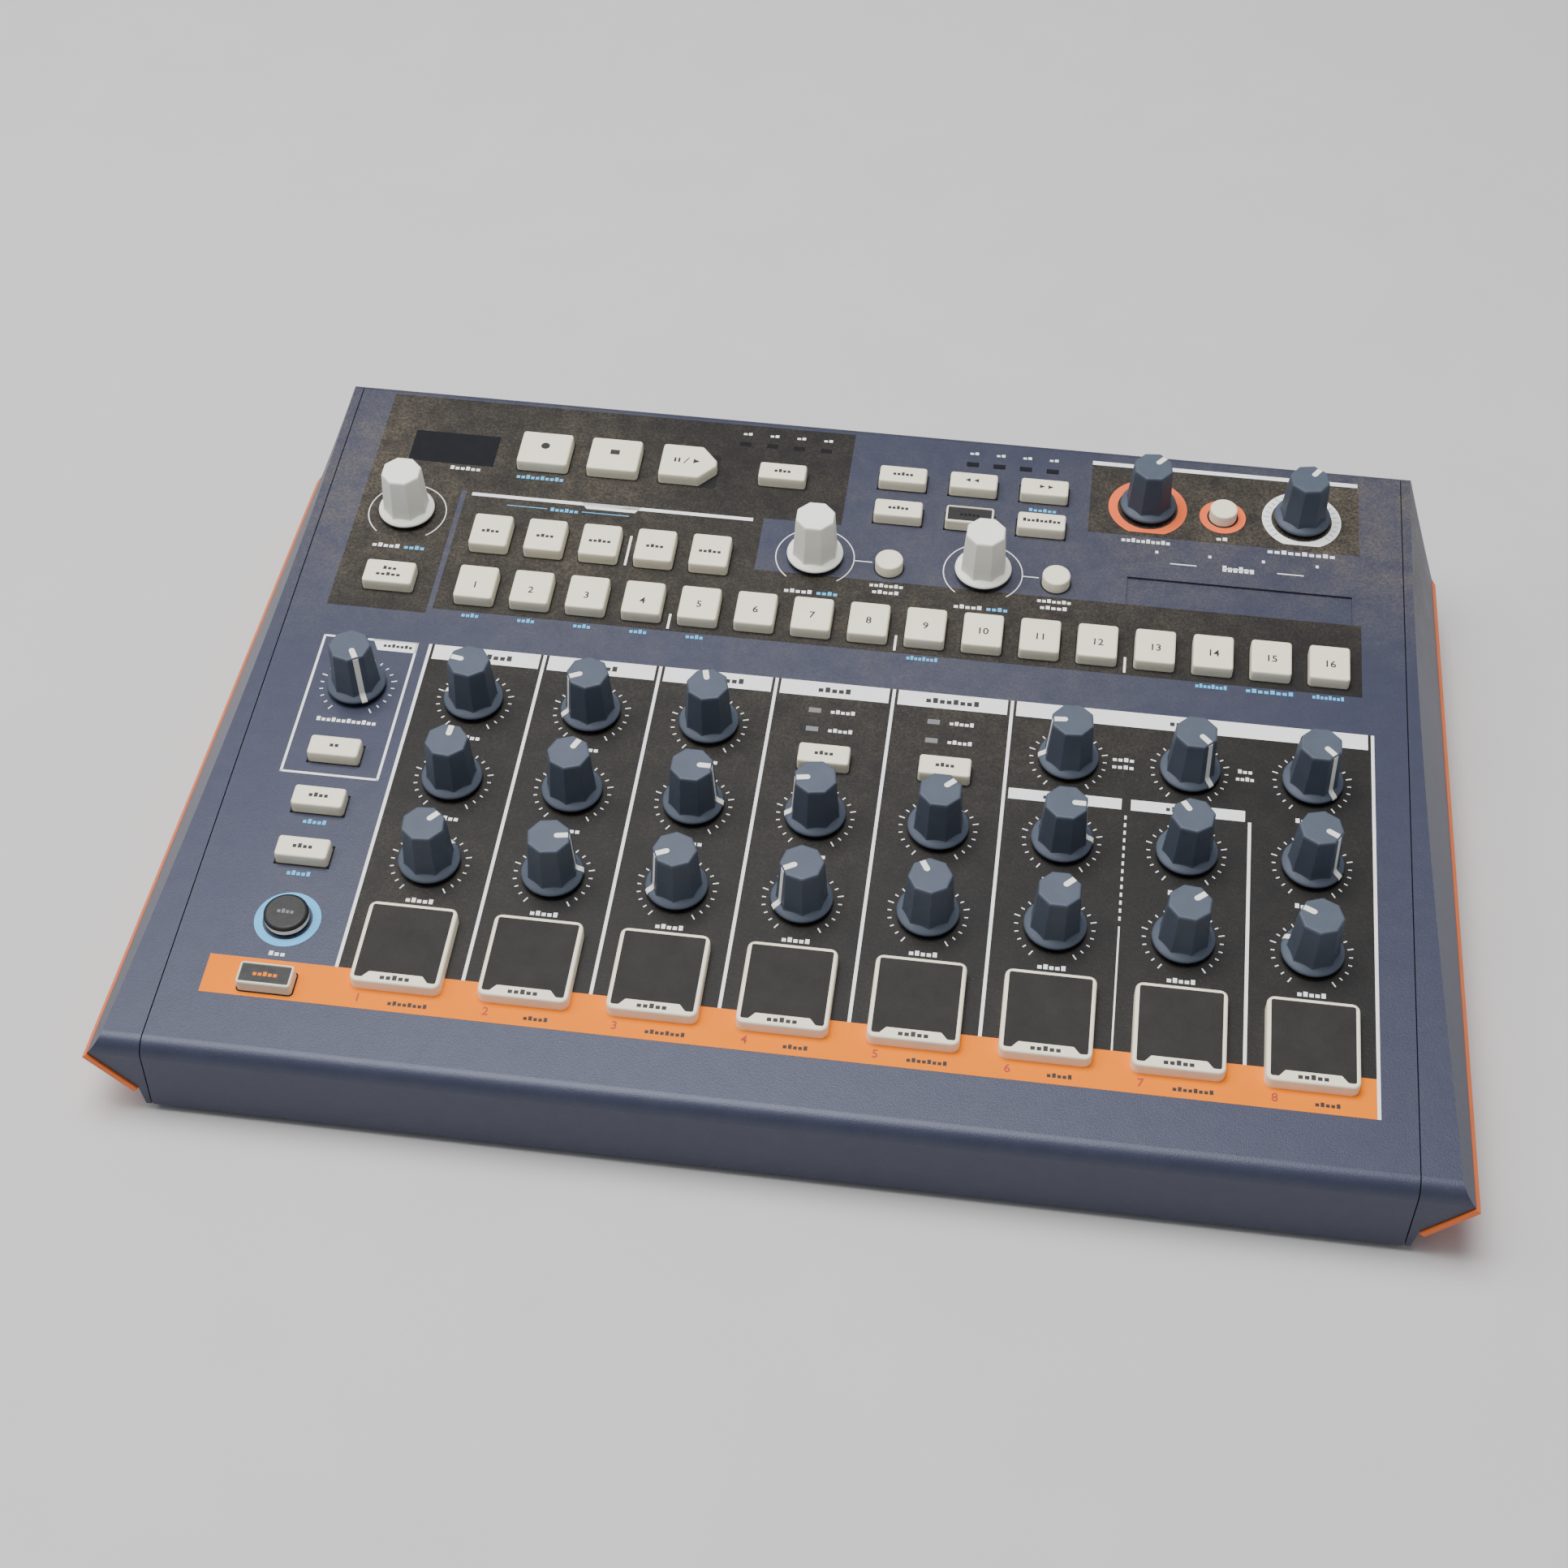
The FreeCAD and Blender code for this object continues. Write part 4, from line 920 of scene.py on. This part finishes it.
def transport_key(shape, k, centre, size, top):
    """From the left: a dot, a square, a pause and play sign on the arrow key, a row of blocks."""
    order = sorted(c[0][0] for c in KEYS["transport_keys"])
    rank = order.index(centre[0])
    z = top + INK_ABOVE_KEY
    x, y = centre
    if rank == 2:
        plain_key(shape, centre, size, top, outline=arrow_corners)
        for left in (x - 4.4, x - 3.2):
            flat_box(shape, left, y - 0.9, left + 0.6, y + 0.9, z, INK)
        slash = [(x - 1.6, y - 1.3, z), (x - 1.2, y - 1.3, z), (x + 0.2, y + 1.3, z), (x - 0.2, y + 1.3, z)]
        shape.patch(slash, INK)
        shape.patch([(x + 1.4, y - 1.0, z), (x + 3.4, y, z), (x + 1.4, y + 1.0, z)], INK)
        return
    plain_key(shape, centre, size, top, 1.0 if rank < 3 else 0.9)
    if rank == 0:
        shape.patch(circle((x, y + 0.8), 1.35, z, 24), INK)
    elif rank == 1:
        flat_box(shape, x - 1.4, y - 0.2, x + 1.4, y + 1.8, z, INK)
    else:
        blocks(shape, centre, 5.2, 1.4, 4, z)


def edit_key(shape, k, centre, size, top):
    """Two keys have double arrows and one a sunk top; all but the arrows have blocks."""
    z = top + INK_ABOVE_KEY
    if k == 4:
        rim_key(shape, centre, size, top)
        blocks(shape, centre, 6.0, 1.2, 5, top - 0.3)
        return
    plain_key(shape, centre, size, top, 0.9)
    if k in (1, 2):
        x, y = centre
        side = -1 if k == 1 else 1
        for offset in (-1.5, 1.0):
            foot = x + side * offset
            shape.patch([(foot, y - 0.8, z), (foot + side * 1.6, y, z), (foot, y + 0.8, z)], INK)
    else:
        count = 9 if k == 5 else 5
        blocks(shape, centre, 1.25 * count, 1.4, count, z)


def left_key(shape, k, centre, size, top):
    """Wide key: two rows of blocks on the first, one on the others."""
    plain_key(shape, centre, size, top)
    z = top + INK_ABOVE_KEY
    x, y = centre
    if k == 0:
        blocks(shape, (x, y + 1.2), 4.2, 1.3, 3, z)
        blocks(shape, (x, y - 1.2), 7.4, 1.3, 5, z)
    else:
        count = (0, 2, 4, 4)[k]
        blocks(shape, (x, y + 0.2), 1.4 * count, 1.5, count, z)


def type_key(shape, k, centre, size, top):
    """Small wide key with a row of blocks."""
    plain_key(shape, centre, size, top, 0.9)
    blocks(shape, centre, 5.4, 1.4, 4, top + INK_ABOVE_KEY)


def colour_key(shape, k, centre, size, top):
    """Sunk key with orange blocks."""
    rim_key(shape, centre, size, top)
    blocks(shape, centre, 6.6, 1.3, 5, top - 0.27, ORANGE)


def round_key(shape, k, centre, size, top):
    """Small round key."""
    radius = size[0] / 2
    levels = ((KEY_FOOT, 0.0), (top - 0.5, 0.03), (top - 0.2, 0.15), (top - 0.05, 0.4), (top, 0.75))
    rings(shape, [circle(centre, radius - s, z) for z, s in levels], KEY, smooth=True)


SHIFT_OVERHANG = 1.35


def shift_key(shape, k, centre, size, top):
    """Round key: a beige stem and rim under a dark head, which stays off the panel when pressed."""
    radius = size[0] / 2
    head = radius + SHIFT_OVERHANG
    under = KEY_TRAVEL + 0.1
    stem = ((KEY_FOOT, radius), (under, radius), (under, head - 0.1), (top - 1.1, head))
    rings(shape, [circle(centre, r, z) for z, r in stem], KEY, cap_high=False)
    dome = ((top - 1.1, head), (top - 0.5, head - 0.1), (top - 0.15, head - 0.4), (top, head - 0.95))
    rings(shape, [circle(centre, r, z) for z, r in dome], INSET, smooth=True)
    blocks(shape, centre, 4.6, 1.3, 4, top + INK_ABOVE_KEY, GREY)


KEY_MAKERS = {
    "step_keys_1_8": step_key,
    "step_keys_9_16": step_key,
    "mode_keys": mode_key,
    "transport_keys": transport_key,
    "edit_keys": edit_key,
    "left_column_keys": left_key,
    "type_keys": type_key,
    "colour_key": colour_key,
    "round_keys": round_key,
    "shift_key": shift_key,
}


def make_keys():
    """The keys of each node as one piece that replaces it, and the numbers on the step keys."""
    for node, draw in KEY_MAKERS.items():
        shape = Shape()
        for k, (centre, size, top) in enumerate(KEYS[node]):
            draw(shape, k, centre, size, top)
        mesh = shape.mesh(node + "_look", PANEL)
        give(mesh, "key", "ink", "inset", "orange", "grey")
        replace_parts(link(node + "_look", mesh, node + "_body"), node)
    for k, (centre, _, top) in enumerate(STEPS):
        body = "step_keys_1_8_body" if k < 8 else "step_keys_9_16_body"
        place = (centre[0], centre[1] - (0.8 if k >= 4 else 1.5))
        name = "step_number_%d" % (k + 1)
        number(name, str(k + 1), place, top + INK_ABOVE_KEY, "ink", body)


# Knobs, in millimetres about their axes
SKIRT = 8.2
SKIRT_LOW = 1.4
SKIRT_TOP = 3.0
KNOB_TOP = 17.0
KNOB_WAIST = 6.75
KNOB_CROWN = 5.85
GRIP_SIDES = 8
GRIP_CORNER = 0.45
POINTER_HALF = 0.78
POINTER_LIFT = 0.07
POINTER_DEPTH = 0.3


def octagon(radius, z):
    """Octagon with rounded corners and a flat side to the rear."""
    corners = []
    for i in range(GRIP_SIDES):
        a = 2 * math.pi * (i + 0.5) / GRIP_SIDES
        corners.append((radius * math.cos(a), radius * math.sin(a)))
    return at(rounded_outline(corners, GRIP_CORNER, 3), z)


def add_pointer(shape):
    """Pointer let into the top, one face and the skirt, with a round inner end."""
    flat = math.cos(math.pi / GRIP_SIDES)
    top = KNOB_TOP + POINTER_LIFT
    path = (
        (2.2, top),
        (KNOB_CROWN * flat - 0.45, top),
        (KNOB_CROWN * flat + POINTER_LIFT, KNOB_TOP - 0.55),
        (KNOB_WAIST * flat + POINTER_LIFT, SKIRT_TOP + 0.6),
        (KNOB_WAIST * flat + 0.55, SKIRT_TOP + 0.05),
        (SKIRT - 0.35, SKIRT_LOW + 1.0 + POINTER_LIFT),
        (SKIRT + POINTER_LIFT, SKIRT_LOW + 0.6),
        (SKIRT + POINTER_LIFT, SKIRT_LOW + 0.2),
    )
    points = [(x, y, z) for y, z in path for x in (-POINTER_HALF, POINTER_HALF)]
    sunk = [(x, y - POINTER_DEPTH, z - POINTER_DEPTH) for x, y, z in points]
    count = len(points)
    steps = range(len(path) - 1)
    faces = [(2 * i, 2 * i + 1, 2 * i + 3, 2 * i + 2) for i in steps]
    for i in steps:
        for edge in (2 * i, 2 * i + 1):
            faces.append((edge, edge + 2, count + edge + 2, count + edge))
    shape.add(points + sunk, faces, 1)
    end = []
    for k in range(9):
        a = math.pi * k / 8
        end.append((POINTER_HALF * math.cos(a), path[0][0] - POINTER_HALF * math.sin(a), top))
    shape.patch(end, 1)


def knob_mesh(name, material, with_pointer):
    """Knob about its axis: round skirt and tapered octagonal grip."""
    shape = Shape()
    skirt = (
        (3.0, SKIRT_LOW + 0.05),
        (SKIRT - 0.4, SKIRT_LOW),
        (SKIRT - 0.05, SKIRT_LOW + 0.2),
        (SKIRT, SKIRT_LOW + 0.45),
        (SKIRT - 0.05, SKIRT_LOW + 0.75),
        (SKIRT - 0.35, SKIRT_LOW + 1.0),
        (SKIRT - 1.0, SKIRT_LOW + 1.35),
        (KNOB_WAIST - 0.5, SKIRT_TOP + 0.25),
    )
    loops = [circle((0.0, 0.0), r, z, 64) for r, z in skirt]
    rings(shape, loops, cap_low=True, cap_high=False, smooth=True)
    grip = (
        (KNOB_WAIST + 0.25, SKIRT_TOP - 0.35),
        (KNOB_WAIST, SKIRT_TOP + 0.5),
        (KNOB_CROWN + 0.07, KNOB_TOP - 0.7),
        (KNOB_CROWN - 0.08, KNOB_TOP - 0.25),
        (KNOB_CROWN - 0.3, KNOB_TOP - 0.06),
        (KNOB_CROWN - 0.6, KNOB_TOP),
    )
    rings(shape, [octagon(r, z) for r, z in grip])
    if with_pointer:
        add_pointer(shape)
    mesh = shape.mesh(name, Matrix.Scale(MM, 4))
    give(mesh, material, "pointer")
    return mesh


def make_knobs():
    """One piece for each knob, turned to its pointer angle."""
    grey = knob_mesh("knob_grey", "knob", True)
    cream = knob_mesh("knob_cream", "cream", False)
    tilt = PANEL.to_3x3().normalized().to_4x4()
    for node in KNOBS:
        mesh = (cream if node in CREAM_KNOBS else grey).copy()
        place = Vector(JOINTS[node + "_turn"]["pos_m"])
        spin = Matrix.Rotation(math.radians(-knob_angle(node)), 4, "Z")
        mesh.transform(Matrix.Translation(place) @ tilt @ spin)
        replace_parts(link(node + "_look", mesh, node + "_body"), node)


# Pads
PAD_CORNER = 2.1
PAD_RIM = 1.15
PAD_FACE_CORNER = 0.55
TAB_DEPTH = 3.3
TAB_HALF = 6.9
TAB_SLOPE = 1.6
TAB_NOTCH = 1.4


def make_pad(node):
    """Pad: beige rim, deeper at the front where the tab is, round a charcoal face."""
    shape = Shape()
    centre, size, top = crown(islands(node)[0])
    levels = ((KEY_FOOT, 0.0), (top - 0.6, 0.05), (top - 0.25, 0.15), (top - 0.05, 0.35), (top, 0.55))
    loops = []
    for z, shrink in levels:
        loops.append(at(rounded_outline(box_corners(centre, size, shrink), PAD_CORNER - shrink), z))
    rings(shape, loops, smooth=True)
    x, y = centre
    side = size[0] / 2 - PAD_RIM
    front = y - size[1] / 2
    rear = y + size[1] / 2 - PAD_RIM
    face = [
        (x - side, front + TAB_NOTCH),
        (x - TAB_HALF - TAB_SLOPE, front + TAB_NOTCH),
        (x - TAB_HALF, front + TAB_DEPTH),
        (x + TAB_HALF, front + TAB_DEPTH),
        (x + TAB_HALF + TAB_SLOPE, front + TAB_NOTCH),
        (x + side, front + TAB_NOTCH),
        (x + side, rear),
        (x - side, rear),
    ]
    shape.patch(at(rounded_outline(face, PAD_FACE_CORNER, 3), top + 0.05), 1)
    blocks(shape, (x, front + 1.9), 8.0, 1.5, 5, top + INK_ABOVE_KEY, 2)
    mesh = shape.mesh(node + "_look", PANEL)
    give(mesh, "key", "pad", "ink")
    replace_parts(link(node + "_look", mesh, node + "_body"), node)


# Stage
FLOOR_REACH = 12.0
SKY_COLOUR = (0.86, 0.90, 1.0, 1.0)
SKY_STRENGTH = 0.36
# Name, place and width in metres, power in watts; all point at the world's origin
LIGHTS = (
    ("key_light", (-0.2, 0.1, 1.6), 0.9, 31.0),
    ("fill_light", (-1.1, 0.0, 1.5), 1.0, 12.0),
    ("front_light", (-0.3, -0.8, 2.0), 0.7, 3.0),
)


def make_floor():
    """Pale floor, which isn't part of the object."""
    mesh = bpy.data.meshes.new("floor")
    side = 2 * FLOOR_REACH
    mesh.from_pydata(at(box_corners((0.0, 0.0), (side, side)), 0.0), [], [(0, 1, 2, 3)])
    floor = bpy.data.objects.new("floor", mesh)
    bpy.context.scene.collection.objects.link(floor)
    mesh.materials.append(finish("floor_pale", (205, 204, 202), 0.8, 300.0, 0.02, 0.02))


def make_lights():
    """Soft lights and a pale sky."""
    world = bpy.data.worlds.new("world")
    bpy.context.scene.world = world
    world.use_nodes = True
    background = world.node_tree.nodes["Background"]
    background.inputs["Color"].default_value = SKY_COLOUR
    background.inputs["Strength"].default_value = SKY_STRENGTH
    for name, place, size, power in LIGHTS:
        light = bpy.data.lights.new(name, "AREA")
        light.size = size
        light.energy = power
        lamp = bpy.data.objects.new(name, light)
        bpy.context.scene.collection.objects.link(lamp)
        lamp.location = place
        lamp.rotation_euler = (-Vector(place)).to_track_quat("-Z", "Y").to_euler()


def make_camera():
    """Camera at the photograph's place."""
    camera = bpy.data.objects.new("camera", bpy.data.cameras.new("camera"))
    bpy.context.scene.collection.objects.link(camera)
    camera.data.lens = CAMERA_LENS
    camera.data.sensor_width = CAMERA_SENSOR
    aim = (CAMERA_TARGET - CAMERA_PLACE).to_track_quat("-Z", "Y").to_matrix().to_4x4()
    roll = Matrix.Rotation(math.radians(CAMERA_ROLL), 4, "Z")
    camera.matrix_world = Matrix.Translation(CAMERA_PLACE) @ aim @ roll
    bpy.context.scene.camera = camera


make_floor()
make_lights()
make_camera()
print_zones()
print_lines()
print_rings()
print_key_gap_shade()
print_windows()
print_ring_ticks()
print_legends()
print_numbers()
make_keys()
make_knobs()
for pad_number in range(1, 9):
    make_pad("pad_%d" % pad_number)
